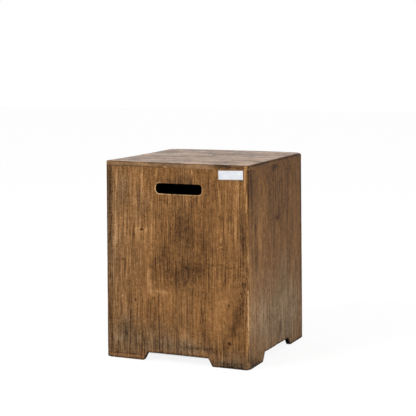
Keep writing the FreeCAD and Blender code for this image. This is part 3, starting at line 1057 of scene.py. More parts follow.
class NodeWork:
    """A node tree that is being filled, and the one method that adds nodes to it."""

    def __init__(self, tree: bpy.types.NodeTree, shader: str) -> None:
        """Takes a tree and picks its shader by name."""
        self.tree = tree
        self.shader = tree.nodes[shader]

    def node(
        self, kind: str, settings: dict[str, Any] | None = None, inputs: dict[Any, Any] | None = None,
        output: int | str = 0,
    ) -> Signal:
        """Adds a node.

        Args:
            kind: The node's type.
            settings: Its own settings; "stops" are a ramp's places and colours.
            inputs: A number, a colour, a vector or a signal for each socket, by name or place.
            output: Which output to return.

        Returns:
            The chosen output.
        """
        made = self.tree.nodes.new(kind)
        for key, value in (settings or {}).items():
            if key == "stops":
                self._set_stops(made.color_ramp, value)
            else:
                setattr(made, key, value)
        for key, value in (inputs or {}).items():
            self.feed(made.inputs[key], value)
        return Signal(self, made.outputs[output])

    @staticmethod
    def _set_stops(ramp: bpy.types.ColorRamp, stops: Sequence[tuple[float, Colour]]) -> None:
        """Gives a ramp its places and colours.

        Args:
            ramp: The ramp.
            stops: Its places and colours.
        """
        while len(ramp.elements) < len(stops):
            ramp.elements.new(0.5)
        for element, (place, colour) in zip(ramp.elements, stops):
            element.position = place
            element.color = colour

    def feed(self, socket: bpy.types.NodeSocket, value: Any) -> None:
        """Links a signal to a socket, or sets the socket to a plain value.

        Args:
            socket: The socket.
            value: The signal or the value.
        """
        if isinstance(value, Signal):
            self.tree.links.new(value.socket, socket)
        else:
            socket.default_value = value

    def set(self, **sockets: Any) -> None:
        """Feeds the shader's own sockets, named with underscores for spaces."""
        for key, value in sockets.items():
            self.feed(self.shader.inputs[key.replace("_", " ")], value)

    def stored(self, name: str) -> Signal:
        """A vector that the piece stores with its vertices."""
        settings = {"attribute_name": name, "attribute_type": "GEOMETRY"}
        return self.node("ShaderNodeAttribute", settings, output="Vector")

    def place(self) -> Signal:
        """The place on the piece, in metres, in the table's frame."""
        return self.node("ShaderNodeTexCoord", output="Object")

    def parts(self, vector: Signal) -> tuple[Signal, Signal, Signal]:
        """A vector's three numbers."""
        split = self.node("ShaderNodeSeparateXYZ", inputs={0: vector})
        return tuple(Signal(self, socket) for socket in split.socket.node.outputs)

    def noise(
        self, vector: Signal, scale: float | Triple, detail: float = 2.0, roughness: float = 0.5
    ) -> Signal:
        """Noise from about 0.2 to 0.8, with so many cells to the metre along all axes or along each.

        Args:
            vector: Where the noise is read.
            scale: Its cells to the metre.
            detail: How many finer scales it has.
            roughness: How strong those are.

        Returns:
            The noise.
        """
        factors = scale if isinstance(scale, tuple) else (scale, scale, scale)
        stretched = self.node("ShaderNodeVectorMath", {"operation": "MULTIPLY"}, {0: vector, 1: factors})
        inputs = {"Vector": stretched, "Scale": 1.0, "Detail": detail, "Roughness": roughness}
        return self.node("ShaderNodeTexNoise", inputs=inputs)

    def ramp(self, value: Signal, stops: Sequence[tuple[float, Colour]]) -> Signal:
        """A colour for each value, between given stops."""
        return self.node("ShaderNodeValToRGB", {"stops": stops}, {0: value})

    def blend(self, factor: Any, first: Any, second: Any) -> Signal:
        """A colour between two others."""
        return self.node("ShaderNodeMix", {"data_type": "RGBA"}, {0: factor, 6: first, 7: second}, output=2)

    def path_kinds(self) -> tuple[Signal, Signal]:
        """1 for what the camera sees straight, and 1 for what it sees in a gloss or through glass.

        Returns:
            Both signals.
        """
        path = self.node("ShaderNodeLightPath").socket.node
        words = ("Is Camera Ray", "Is Glossy Ray", "Is Transmission Ray")
        camera, glossy, through = (Signal(self, path.outputs[word]) for word in words)
        return camera, (glossy + through).clipped()


class Finish(NodeWork):
    """A material that is being made."""

    def __init__(self, name: str) -> None:
        """Starts a material with a plain shader, and mixes it.

        Args:
            name: The material's name.
        """
        self.material = bpy.data.materials.new(name)
        self.material.use_nodes = True
        super().__init__(self.material.node_tree, "Principled BSDF")
        self.mix()

    def mix(self) -> None:
        """Builds the material's own nodes."""
        raise NotImplementedError

    def bump(self, height: Signal, distance: float) -> None:
        """Gives the surface a relief, with its depth in millimetres."""
        inputs = {"Height": height, "Distance": distance * MM, "Strength": 1.0}
        self.set(Normal=self.node("ShaderNodeBump", inputs=inputs))


@dataclass(frozen=True)
class WoodPalette:
    """The stain's colours on cast wood grain, from the deepest pore to the palest ridge, fresh and greyed."""

    stained: tuple[Colour, ...] = (
        srgb(40, 25, 14), srgb(84, 56, 32), srgb(119, 83, 48), srgb(149, 106, 63), srgb(182, 137, 90)
    )
    ashen: tuple[Colour, ...] = (
        srgb(38, 29, 20), srgb(81, 63, 44), srgb(115, 92, 67), srgb(146, 120, 92), srgb(177, 151, 121)
    )
    pore: Colour = srgb(40, 25, 14)
    # The worn colour also paints the highlight along one arris.
    worn: Colour = srgb(208, 166, 116)
    paint: Colour = srgb(12, 11, 10)


class FauxWood(Finish):
    """Cement cast and stained as brushed wood: sealed with a satin coat on top, painted black inside.

    Each noise has its cells to the metre across and along the grain, its detail and its roughness.
    """

    NOISES = (
        (34, 5, 3, 0.6), (140, 4, 2, 0.5), (210, 1.3, 1, 0.5), (250, 6, 2, 0.5), (470, 10, 2, 0.6),
        (1300, 45, 2, 0.6), (95, 60, 4, 0.7), (330, 190, 3, 0.6), (34, 44, 4, 0.8), (56, 9, 3, 0.6),
    )
    COLOURS = WoodPalette()
    PLACES = (0.0, 0.24, 0.5, 0.74, 1.0)
    SKIN_INDEX = 1.12
    SEALER_INDEX = 1.5

    def mix(self) -> None:
        """Lays fine lines, threads and mottling over the stored marks, then wear, pores and paint."""
        grain = self.stored("grain")
        tone, ash, wear = self.parts(self.stored("marks"))
        knot, depth, lined = self.parts(self.stored("knots"))
        sealed, _, _ = self.parts(self.stored("sealer"))

        broad, lines, threads, reeds, brushed, fibres, mottle, curl, patches, swept = (
            self.noise(grain, (across, along, 1), detail, roughness) - 0.5
            for across, along, detail, roughness in self.NOISES
        )
        rings = (knot * 15 + mottle * 6).sine() * (1 - knot.step(1.2, 2.6))

        value = tone + 0.52 + broad * 0.22
        value = value + (lines * 0.16 + threads * 0.29 + reeds * 0.19 + brushed * 1.9 + fibres * 0.8) * lined
        value = value + mottle * (0.95 - lined * 0.3) + curl * (0.45 + lined * 0.6) + rings * 0.05
        value = value + (patches * 1.0 + broad * 0.4 + swept * 1.4 + 0.07) * sealed
        value = value.clipped()
        stained = self.ramp(value, list(zip(self.PLACES, self.COLOURS.stained)))
        ashen = self.ramp(value, list(zip(self.PLACES, self.COLOURS.ashen)))
        greyed = self.blend((ash * (1 + mottle * 0.7 + lines * 0.6)).clipped(), stained, ashen)
        # Rubbed paler with the worn colour, which along one arris is also a painted highlight.
        rubbed = (wear + mottle * 0.9 + lines * 0.7 + curl * 0.5).step(0.36, 0.9)
        worn = self.blend(rubbed * 0.86, greyed, self.COLOURS.worn)
        pores = self.noise(grain, (620, 14, 1), 1, 0.5).step(0.60, 0.72) * (1 - rubbed) * 0.16
        pored = self.blend(pores, worn, self.COLOURS.pore)
        painted = (depth + mottle * 2.2).step(1.1, 1.9)
        self.set(
            Base_Color=self.blend(painted, pored, self.COLOURS.paint),
            Roughness=(0.5 + brushed * 0.25) * (1 - painted) + painted * 0.75,
            IOR=self.SKIN_INDEX,
            Coat_Weight=(sealed * (0.71 + patches + broad * 0.5 + swept * 1.3 + brushed + curl)).clipped(),
            Coat_Roughness=0.33,
            Coat_IOR=self.SEALER_INDEX,
        )
        rough = brushed * 1.1 + reeds * 0.6 + lines * 0.6 + fibres * 0.3 + mottle * 0.7 - pores * 0.6
        self.bump(rough + (curl + mottle * 2) * sealed, 1.3)


class BlackMortar(Finish):
    """Trowelled mortar under matt black paint, with sand grains and thin dusty ridges."""

    def mix(self) -> None:
        """Lays dust on the high parts of the trowelled sand."""
        place = self.place()
        sand = self.noise(place, 900, 2, 0.6)
        trowel = self.noise(place, (70, 70, 26), 4, 0.6)
        dust = (trowel + (sand - 0.5) * 0.5).step(0.50, 0.85)
        self.set(
            Base_Color=self.ramp(dust, [(0.0, srgb(8, 8, 7)), (0.6, srgb(14, 13, 12)), (1.0, srgb(34, 32, 30))]),
            Roughness=0.68 + (sand - 0.5) * 0.3,
            IOR=1.15,
        )
        self.bump(sand * 0.4 + trowel, 0.6)


class BlackMesh(Finish):
    """Glass-fibre mesh pressed into black cement slurry, with bare glass glinting on the strands."""

    def mix(self) -> None:
        """Bares the strands between clots of slurry."""
        place = self.place()
        strand, _, _ = self.parts(self.stored("strands"))
        clots = self.noise(place, 130, 4, 0.65)
        fibres = self.noise(place, 1600, 2, 0.5)
        bare = (strand * (0.35 + fibres * 0.7) - clots * 0.35).step(0.10, 0.45)
        slurry = self.ramp(clots, [(0.3, srgb(7, 7, 7)), (0.7, srgb(17, 16, 15))])
        self.set(
            Base_Color=self.blend(bare, slurry, srgb(40, 39, 37)),
            Roughness=0.70 - bare * 0.2,
            IOR=1.15,
        )
        self.bump(clots * 0.6 + fibres * 0.4, 0.35)


class FootRubber(Finish):
    """Black moulded rubber with a fine matt skin and a little floor dust."""

    def mix(self) -> None:
        """Lays a little dust on the fine skin."""
        place = self.place()
        skin = self.noise(place, 2200, 2, 0.5)
        dust = self.noise(place, 260, 3, 0.6).step(0.52, 0.75)
        self.set(
            Base_Color=self.blend(dust * 0.5, srgb(24, 24, 25), srgb(74, 70, 64)),
            Roughness=0.55 + skin * 0.3,
        )
        self.bump(skin, 0.15)


class SatinPlate(Finish):
    """Pale satin aluminium, brushed from end to end, with painted shade in the line pressed round its face."""

    def mix(self) -> None:
        """Brushes and smudges the metal, and paints shade into its pressed line."""
        place = self.place()
        pressed, _, _ = self.parts(self.stored("pressed"))
        brushed = self.noise(place, (60, 60, 4200), 2, 0.5) - 0.5
        smudge = self.noise(place, 90, 3, 0.5)
        metal = self.blend((brushed + smudge).clipped(), srgb(196, 200, 205), srgb(226, 229, 233))
        self.set(
            # Painted shade in the pressed line.
            Base_Color=self.blend(pressed * 0.6, metal, srgb(150, 152, 155)),
            Metallic=0.5,
            Roughness=0.36 + brushed * 0.2,
        )
        self.bump(brushed, 0.02)


class FoamTape(Finish):
    """Black closed-cell foam tape."""

    def mix(self) -> None:
        """Fills it with cells."""
        place = self.place()
        cells = self.node("ShaderNodeTexVoronoi", inputs={"Vector": place, "Scale": 2600.0})
        self.set(
            Base_Color=self.ramp(cells, [(0.0, srgb(16, 16, 17)), (1.0, srgb(46, 46, 48))]),
            Roughness=0.7 + (cells - 0.3) * 0.2,
        )
        self.bump(cells, 0.12)


class StudioFloor(Finish):
    """A pale floor that fades into the background, but for a share that holds the table's shadow.

    Glossy pieces see it white as well, except under the table, where it is dark.
    """

    SHOWN_WHITE = 0.82
    SHOWN_STRENGTH = 1.08
    SHADED_HALF = 0.196
    SHADED_BLUR = 0.01
    HIDDEN_HALF = 0.105
    HIDDEN_BLUR = 0.03

    def mix(self) -> None:
        """Mixes a white glow over the plain floor, for the rays and places that ask for it."""
        self.set(Base_Color=(0.86, 0.86, 0.86, 1.0), Roughness=0.9, Specular_IOR_Level=0.1)
        across, along, _ = self.parts(self.place())
        reach = across.combined("MAXIMUM", across * -1).combined("MAXIMUM", along.combined("MAXIMUM", along * -1))
        open_floor = reach.step(self.SHADED_HALF, self.SHADED_HALF + self.SHADED_BLUR)
        seen_floor = reach.step(self.HIDDEN_HALF, self.HIDDEN_HALF + self.HIDDEN_BLUR)
        camera, mirrored = self.path_kinds()
        white = self.node("ShaderNodeEmission", inputs={"Color": WHITE, "Strength": self.SHOWN_STRENGTH})
        lit = Signal(self, self.shader.outputs[0])
        share = (camera * seen_floor + mirrored * open_floor).clipped() * self.SHOWN_WHITE
        shown = self.node("ShaderNodeMixShader", inputs={0: share, 1: lit, 2: white})
        self.tree.links.new(shown.socket, self.tree.nodes["Material Output"].inputs["Surface"])


class Backdrop(NodeWork):
    """The background: white to look at, straight or in a gloss, and softer as a light."""

    SKY_LIGHT = 0.62

    def __init__(self, name: str) -> None:
        """Makes the background and hangs it.

        Args:
            name: The background's name.
        """
        world = bpy.data.worlds.new(name)
        world.use_nodes = True
        bpy.context.scene.world = world
        super().__init__(world.node_tree, "Background")
        camera, mirrored = self.path_kinds()
        seen = (camera + mirrored).clipped()
        self.set(Color=WHITE, Strength=self.SKY_LIGHT + seen * (1 - self.SKY_LIGHT))


# ---------------- the cast slabs


@dataclass
class Dressing:
    """What a slab's edges and shape add to its grain: one value for each vertex.

    Wear is how rubbed it is, and along one arris also a painted highlight; sealed how much sealer it has, ash how
    greyed it is and calm how far the fine lines fade, all from 0 to 1. Depth is how far it lies behind the outer face,
    in millimetres, and stain is added to the grain's tone: besides stain it holds painted shade along the feet and
    some corners and edges, and a painted highlight at the near corner.
    """

    wear: Array
    depth: Array
    stain: Array
    sealed: Array
    ash: Array
    calm: Array


@dataclass
class CastSlab:
    """What every cast slab shares: a dense grained face, and marks stored for its finish."""

    name: str
    grain: Grain
    cell_across: float = 1.35
    cell_along: float = 2.6
    noise_shift: float = 0.0
    lined: float = 1.0

    def store_marks(self, piece: Piece, places: Array, dressing: Dressing) -> None:
        """Stores what the finish reads.

        Args:
            piece: The slab.
            places: Each vertex's place across and along the grain, in millimetres.
            dressing: What the slab's edges add.
        """
        across, along = places[:, 0], places[:, 1]
        shift = self.noise_shift
        flowed = self.grain.flow(across, along)
        tone = self.grain.tone(across, along) + dressing.stain
        ash = np.clip(self.grain.ash(across, along) + dressing.ash, 0, 1)
        lined = self.lined * (1 - np.clip(self.grain.calm(across, along) + dressing.calm, 0, 1))
        reach = self.grain.knot_reach(across, along)
        rows = {
            "grain": (flowed * MM + shift, along * MM + 3 * shift, np.full_like(across, shift)),
            "marks": (tone, ash, dressing.wear),
            "knots": (reach, dressing.depth, lined),
            "sealer": (dressing.sealed, np.zeros_like(across), np.zeros_like(across)),
        }
        for name, columns in rows.items():
            Bench.set_vectors(piece, name, np.stack(columns, 1))


@dataclass(frozen=True)
class RoundedSlot:
    """The outline of a hand slot: a rectangle whose left end is rounder than its right, cut by hand."""

    middle_across: float
    middle_up: float
    half_length: float
    half_height: float
    left_radius: float = 10.8
    right_radius: float = 9.0
    unevenness: float = 0.7

    def reach(self, across: Array, up: Array) -> tuple[Array, Array, Array]:
        """The distance outside the outline, and the direction away from it.

        Args:
            across: Places across the wall.
            up: Heights above the floor.

        Returns:
            The distance, negative inside the slot, and the direction's two parts.
        """
        from_across, from_up = across - self.middle_across, up - self.middle_up
        radius = np.where(from_across < 0, self.left_radius, self.right_radius)
        over_across = np.abs(from_across) - (self.half_length - radius)
        over_up = np.abs(from_up) - (self.half_height - radius)
        in_corner = (over_across > 0) & (over_up > 0)
        corner = np.hypot(over_across, over_up)
        distance = np.where(in_corner, corner, np.maximum(over_across, over_up)) - radius
        safe = np.where(corner > 0, corner, 1)
        sideways = over_across > over_up
        away_across = np.where(in_corner, over_across / safe, sideways) * np.sign(from_across)
        away_up = np.where(in_corner, over_up / safe, ~sideways) * np.sign(from_up)
        uneven = self.unevenness * clouds(across / 16, up / 9, 61, 2)
        return distance - uneven, away_across, away_up


@dataclass
class CastWall(CastSlab):
    """One wall, with half of each rounded corner, a hose notch and perhaps a hand slot.

    A pair of values is for the wall's left and right. The worn, highlit arris, -1 or 1, is painted pale along its run,
    as wear and as a painted highlight, and its inset is how far that line lies in from the corner's middle.
    """

    MERGED = 0.05
    ARRIS_BAND = 8.5
    WORN_HIGHLIT_BAND = 1.6
    LIP_BAND = 1.5
    FOOT_BAND = 3.6
    DARK_BAND = 3.0
    SLOT_MOVED = (-0.4, 0.5)
    SLOT_GROWN = (0.4, 0.6)
    SLOT_NEAR = 12.0
    RIM_ANGLES = (30, 60, 90)

    side: Side = Side.FRONT
    foot_round: float = 1.6
    joint_round: float = 0.3
    arris_wear: Pair = (0.4, 0.4)
    arris_darkening: Pair = (0.0, 0.0)
    worn_highlit_arris: int = 0
    worn_highlit_run: Pair = (80.0, 216.0)
    worn_highlit_inset: float = 0.0
    corner_lift: Pair = (2.0, 2.0)
    notch_lift: float = 1.0
    foot_clearance: float = 1.0
    foot_trim: Pair = (0.0, 0.0)
    ramps: Pair = (SIZES.notch_run, SIZES.notch_run)
    foot_shade: float = 0.45

    @property
    def half_girth(self) -> float:
        """Half the outer face's length, measured round to the middle of each rounded corner."""
        return SIZES.half_width - SIZES.corner_radius + SIZES.corner_radius * math.pi / 4

    def outer(self, girth: Array) -> tuple[Array, Array]:
        """The outer face's outline in plan.

        Args:
            girth: Distance round the face from its middle.

        Returns:
            The places across the wall and inwards.
        """
        radius = SIZES.corner_radius
        flat = SIZES.half_width - radius
        angle = np.maximum(np.abs(girth) - flat, 0) / radius
        across = np.minimum(np.abs(girth), flat) + radius * np.sin(angle)
        return across * np.sign(girth), radius * (1 - np.cos(angle))

    def foot_line(self, across: Array) -> Array:
        """The height of the wall's lower edge, which rises over the notch.

        Args:
            across: Places across the wall.

        Returns:
            The height at each place.
        """
        left, right = self.side.feet
        start = -SIZES.half_width + left + self.foot_trim[0]
        end = SIZES.half_width - right - self.foot_trim[1]
        rise = np.minimum((across - start) / self.ramps[0], (end - across) / self.ramps[1])
        softened = np.clip(rise, 0, 1)
        softened = softened - 0.035 * np.sin(2 * math.pi * softened)
        uneven = 0.5 * clouds(across / 40, 0.3, self.grain.seed + 7, 2) - 0.006 * across
        lifted = SIZES.notch_height + self.notch_lift + SIZES.wall_foot - self.foot_clearance
        line = self.foot_clearance + lifted * softened + uneven * np.clip(rise, 0, 1)
        for sign, lift in zip((-1, 1), self.corner_lift):
            near = np.maximum(1 - (SIZES.half_width - sign * across) / (1.7 * lift + 2.5), 0)
            line = line + lift * near**2
        return line

    def slot(self) -> RoundedSlot:
        """The hand slot's outline at its narrowest.

        Returns:
            The outline.
        """
        return RoundedSlot(
            SIZES.slot_shift + self.SLOT_MOVED[0], SIZES.slot_middle + self.SLOT_MOVED[1],
            SIZES.slot_length / 2 + self.SLOT_GROWN[0], SIZES.slot_height / 2 + self.SLOT_GROWN[1],
        )

    def wear(self, girth: Array, up: Array) -> Array:
        """How rubbed the face is near its rounded corners and round its slot, with a painted highlight along one
        arris.

        Args:
            girth: Places round the face.
            up: Heights above the floor.

        Returns:
            The wear, from 0 to 1.
        """
        total = np.zeros_like(girth)
        for sign, strength in zip((-1, 1), self.arris_wear):
            inset = self.half_girth - sign * girth
            patchy = strength * (1 + 0.5 * clouds(up / 60, 0.5, self.grain.seed + sign, 3))
            total += patchy * bell(inset / self.ARRIS_BAND)
            # Along one arris the pale line is painted highlight as well as wear.
            if sign == self.worn_highlit_arris:
                total += self._rubbed_and_highlit(up) * bell((inset - self.worn_highlit_inset) / self.WORN_HIGHLIT_BAND)
        if self.side.slotted:
            beyond, _, _ = self.slot().reach(girth, up)
            paler = 0.62 + 0.30 * ease((-20 - girth) / 30) - 0.35 * ease((up - SIZES.slot_middle - 8) / 4)
            total += paler * bell((beyond - SIZES.slot_rim) / self.LIP_BAND)
        return np.clip(total, 0, 1)

    def _rubbed_and_highlit(self, up: Array) -> Array:
        """How pale the worn, highlit arris is at each height, as wear and painted highlight: much along its run,
        little elsewhere, and ragged.

        Args:
            up: Heights above the floor.

        Returns:
            The paleness, 0 or more.
        """
        run = ease((up - self.worn_highlit_run[0]) / 30) * ease((self.worn_highlit_run[1] - up) / 12)
        thin = (0.38 + 0.5 * ripple(up / 17, 0.5, 33)) * ease((up + 6) / 12) * ease((400 - up) / 60)
        return np.maximum(run * (1.25 + 0.7 * ripple(up / 5, 0.5, 31)), np.maximum(thin, 0))

    def stain(self, girth: Array, up: Array) -> Array:
        """How much darker the face is: painted shade along its foot, where it meets the floor, and darkening along the
        rounded corners, which is painted shade down the right wall's far corner.

        Args:
            girth: Places round the face.
            up: Heights above the floor.

        Returns:
            What is added to the tone.
        """
        # Painted shade along the foot, where the wall meets the floor.
        total = -self.foot_shade * bell((up - self.foot_line(girth)) / self.FOOT_BAND)
        # Darkening along the rounded corners; down the right wall's far corner it is painted shade.
        for sign, strength in zip((-1, 1), self.arris_darkening):
            total = total - strength * bell((self.half_girth - sign * girth) / self.DARK_BAND)
        return total

    def build(self) -> Piece:
        """Models the wall, and turns it to its place on the table.

        Returns:
            The wall.
        """
        columns = round(2 * self.half_girth / self.cell_across)
        rows = round(SIZES.slab_underside / self.cell_along)
        piece = Bench.sheet_of_faces(self.name, columns, rows)
        self._bend_to_face(piece)
        if self.side.slotted:
            self._open_slot(piece)
        self._close_shell(piece)
        self._grain_face(piece)
        piece.data.transform(self.side.to_table())
        give_draft(piece)
        Bench.smooth(piece)
        return piece

    def _bend_to_face(self, piece: Piece) -> None:
        """Bends the flat grid to the outer face, and stores each vertex's place on it.

        Args:
            piece: The grid.
        """
        square = Bench.points(piece) * MM
        girth = square[:, 0] * 2 * self.half_girth
        across, inwards = self.outer(girth)
        low = self.foot_line(across) + self.foot_round
        high = SIZES.slab_underside - self.joint_round
        up = low + (high - low) * (square[:, 1] + 0.5)
        Bench.set_points(piece, np.stack([across, inwards, up], 1))
        Bench.set_vectors(piece, "place", np.stack([girth, up, np.zeros_like(up)], 1))

    def _open_slot(self, piece: Piece) -> None:
        """Takes the faces inside the hand slot away, and draws the edge up to its outline.

        Args:
            piece: The bent grid.
        """
        slot = self.slot()
        mesh = Bench.edit(piece)
        for face in mesh.faces:
            middle = face.calc_center_median() / MM
            face.select = bool(slot.reach(middle.x, middle.z)[0] < SIZES.slot_rim)
        bpy.ops.mesh.delete(type="FACE")
        mesh = bmesh.from_edit_mesh(piece.data)
        stored = mesh.verts.layers.float_vector["place"]
        for vertex in mesh.verts:
            if vertex.is_boundary and self._at_slot(vertex):
                across, up = vertex.co.x / MM, vertex.co.z / MM
                for _ in range(3):
                    beyond, away_across, away_up = slot.reach(across, up)
                    across += float((SIZES.slot_rim - beyond) * away_across)
                    up += float((SIZES.slot_rim - beyond) * away_up)
                vertex.co.x, vertex.co.z = across * MM, up * MM
                vertex[stored] = (across, up, 0)
        Bench.close(piece)

    def _at_slot(self, vertex: bmesh.types.BMVert) -> bool:
        """True for a vertex of an open edge that belongs to the hand slot.

        Args:
            vertex: The vertex.

        Returns:
            Whether it does.
        """
        from_across, from_up = vertex.co.x / MM - SIZES.slot_shift, vertex.co.z / MM - SIZES.slot_middle
        near_across = abs(from_across) < SIZES.slot_length / 2 + self.SLOT_NEAR
        return self.side.slotted and near_across and abs(from_up) < SIZES.slot_height / 2 + self.SLOT_NEAR

    def _close_shell(self, piece: Piece) -> None:
        """Extrudes the open edges inwards in rings, round the feet, joint and slot, and fills the inner face.

        Args:
            piece: The bent grid.
        """
        bends = [math.radians(angle) for angle in self.RIM_ANGLES]
        rings = [(SIZES.slot_rim * (1 - math.cos(bend)), math.sin(bend)) for bend in bends]
        Bench.edit(piece)
        Bench.select_open_edges()
        bpy.ops.mesh.remove_doubles(threshold=self.MERGED * MM)
        for inwards, share in (*rings, (SIZES.wall, 1.0)):
            mesh = Bench.extruded(piece)
            stored = mesh.verts.layers.float_vector["place"]
            for vertex in mesh.verts:
                if vertex.select:
                    turned = self._inside_slot if self._at_slot(vertex) else self._inside_edge
                    girth, up, _ = vertex[stored]
                    vertex.co = Vector(turned(girth, up, inwards, share)) * MM
            bmesh.update_edit_mesh(piece.data)
        bpy.ops.mesh.remove_doubles(threshold=self.MERGED * MM)
        bpy.ops.mesh.fill()
        Bench.close_outwards(piece)

    def _inside_slot(self, girth: float, up: float, inwards: float, share: float) -> Triple:
        """Where a point of the slot's edge goes as the edge turns inwards.

        Args:
            girth: Its place round the face.
            up: Its height.
            inwards: How far in the ring lies.
            share: How far it has turned, 0 to 1.

        Returns:
            The new place.
        """
        _, away_across, away_up = self.slot().reach(girth, up)
        reach = SIZES.slot_rim * share
        return girth - float(away_across) * reach, inwards, up - float(away_up) * reach

    def _inside_edge(self, girth: float, up: float, inwards: float, share: float) -> Triple:
        """Where a point of the wall's own edge goes as the edge turns inwards, to the mitre, joint or foot.

        Args:
            girth: Its place round the face.
            up: Its height.
            inwards: How far in the ring lies.
            share: How far it has turned, 0 to 1.

        Returns:
            The new place.
        """
        depth = inwards / SIZES.wall
        inner_half = SIZES.half_width - SIZES.wall
        across, back = (float(value) for value in self.outer(girth))
        inner_across = min(max(across, -inner_half), inner_half)
        at_joint = up > SIZES.slab_underside - 2 * self.joint_round
        rise = self.joint_round * share if at_joint else -self.foot_round * share
        return across * (1 - depth) + inner_across * depth, back * (1 - depth) + SIZES.wall * depth, up + rise

    def _grain_face(self, piece: Piece) -> None:
        """Raises the grain on the outer face, and stores the marks for the finish.

        Args:
            piece: The closed wall.
        """
        places = Bench.vectors(piece, "place")
        points = Bench.points(piece)
        girth, up = places[:, 0], places[:, 1]
        _, face = self.outer(girth)
        depth = np.maximum(points[:, 1] - face, 0)
        relief = self.grain.relief(girth, up)
        corner = ease((np.abs(girth) - self.half_girth + 14) / 12)
        shared = 0.35 * clouds(up / 38, 0.5, 71, 3)
        relief = relief * (1 - corner) + shared * corner
        relief *= 1 - ease(depth / 3)
        if self.side.slotted:
            beyond, _, _ = self.slot().reach(girth, up)
            relief *= ease(beyond / 6)
            # Near the slot the black starts sooner: painted shade on the slot's rim.
            depth = np.where(beyond < 2 * SIZES.slot_rim, 3 * depth, depth)
        Bench.raise_relief(piece, relief)
        bare = np.zeros_like(up)
        self.store_marks(
            piece, places, Dressing(self.wear(girth, up), depth, self.stain(girth, up), bare, bare, bare)
        )


@dataclass
class CastTop(CastSlab):
    """The top slab: its upper face, its rounded edge and the band below, in one unrolled sheet."""

    UNDERCUT = 2.5
    ARRIS_BAND = 1.3
    SHADE_BAND = 2.6
    LIP_BAND = 2.4
    DARK_END = 92
    HIGHLIGHT_END = 197

    joint_round: float = 0.3
    proud: float = 0.1
    sag: float = 0.3
    warp: float = 2.2
    near_left: float = 2.4
    far_corner: float = 10.0

    @property
    def flat(self) -> float:
        """Half the square on which the sheet lies flat and square-cornered."""
        return SIZES.half_width - SIZES.corner_radius

    @property
    def inner_radius(self) -> float:
        """The plan radius of a corner where the upper face starts to round over."""
        return SIZES.corner_radius - SIZES.top_edge_radius

    @property
    def reach(self) -> float:
        """How far the sheet runs past the flat square: the corner, the rounded edge and the band."""
        band = SIZES.height - SIZES.slab_underside - SIZES.top_edge_radius - self.joint_round
        return self.inner_radius + SIZES.top_edge_radius * math.pi / 2 + band

    def build(self) -> Piece:
        """Models the top where it lies on the table.

        Returns:
            The top.
        """
        half = self.flat + self.reach
        columns = round(2 * half / self.cell_along)
        rows = round(2 * half / self.cell_across)
        piece = Bench.sheet_of_faces(self.name, columns, rows)
        spread = Bench.points(piece) * MM * 2 * half
        Bench.set_points(piece, self._folded(spread))
        Bench.set_vectors(piece, "place", np.stack([spread[:, 1], spread[:, 0], spread[:, 2]], 1))
        self._close_underside(piece)
        self._grain_face(piece)
        Bench.smooth(piece)
        return piece

    def _folded(self, spread: Array) -> Array:
        """Folds the flat sheet down over the slab's edges, with the band's lower edge uneven and a little proud.

        Args:
            spread: The sheet's vertices as it lies flat.

        Returns:
            The same vertices on the slab.
        """
        over = np.maximum(np.abs(spread[:, :2]) - self.flat, 0)
        share = over / self.reach
        bowed = over * np.sqrt(1 - share[:, ::-1] ** 2 / 2)
        run = np.hypot(bowed[:, 0], bowed[:, 1])
        safe = np.where(run > 0, run, 1)
        rounding = SIZES.top_edge_radius
        bend = np.clip((run - self.inner_radius) / rounding, 0, math.pi / 2)
        hang = np.maximum(run - self.inner_radius - rounding * math.pi / 2, 0)
        low = ease(hang / (self.reach - self.inner_radius - rounding * math.pi / 2))
        uneven = clouds((spread[:, 0] + spread[:, 1]) / 30, (spread[:, 0] - spread[:, 1]) / 140, 93, 3)
        out = np.minimum(run, self.inner_radius) + rounding * np.sin(bend) + low * (self.proud + 0.3 * uneven)
        drop = rounding * (1 - np.cos(bend)) + hang + low * np.maximum(self.sag * (1 + 1.2 * uneven), 0.2)
        plan = np.minimum(np.abs(spread[:, :2]), self.flat) + out[:, None] * bowed / safe[:, None]
        plan = plan * np.sign(spread[:, :2])
        lifted = self._lift(spread / SIZES.half_width) * (1 - ease(hang / 3))
        return self._knocked_corner(np.column_stack([plan, SIZES.height + lifted - drop]))

    def _lift(self, share: Array) -> Array:
        """How far the cast face rises above flat, at places given as shares of the half width.

        Args:
            share: The places.

        Returns:
            The rise at each.
        """
        middle = 1 - 0.6 * np.clip(share[:, 0], -1, 1) ** 4
        rise = self.warp * middle * (0.5 + 0.5 * np.clip(share[:, 1], -1, 1))
        to_left, to_front = (np.clip(-share[:, axis], 0, 1) for axis in (0, 1))
        return rise + self.near_left * to_left**2 * to_front**2

    def _knocked_corner(self, points: Array) -> Array:
        """Rounds the far right corner more than the others.

        Args:
            points: The slab's points.

        Returns:
            The same points, with the corner rounded.
        """
        share = ease((points[:, 1] - SIZES.half_width + 50) / 40)
        radius = SIZES.top_edge_radius + (self.far_corner - SIZES.top_edge_radius) * share
        beyond = points[:, [0, 2]] - np.stack([SIZES.half_width - radius, SIZES.height - radius], 1)
        reach = np.hypot(*np.maximum(beyond, 0).T)
        outside = (beyond > 0).all(axis=1) & (reach > radius)
        pulled = np.where(outside, radius / np.where(reach > 0, reach, 1), 1)
        points[:, [0, 2]] += beyond * (pulled - 1)[:, None] * share[:, None]
        return points

    def _close_underside(self, piece: Piece) -> None:
        """Rounds the band's lower edge, turns it in under the slab and fills the underside.

        Args:
            piece: The folded sheet.
        """
        lip = self.joint_round
        Bench.edit(piece)
        Bench.select_open_edges()
        for inset, fall in ((lip * 0.3, lip * 0.6), (lip * 0.7, lip * 0.3), (self.UNDERCUT, None)):
            for vertex in Bench.extruded(piece).verts:
                if vertex.select:
                    vertex.co.x *= 1 - inset / SIZES.half_width
                    vertex.co.y *= 1 - inset / SIZES.half_width
                    vertex.co.z = SIZES.slab_underside * MM if fall is None else vertex.co.z - fall * MM
            bmesh.update_edit_mesh(piece.data)
        bpy.ops.mesh.fill()
        Bench.close_outwards(piece)

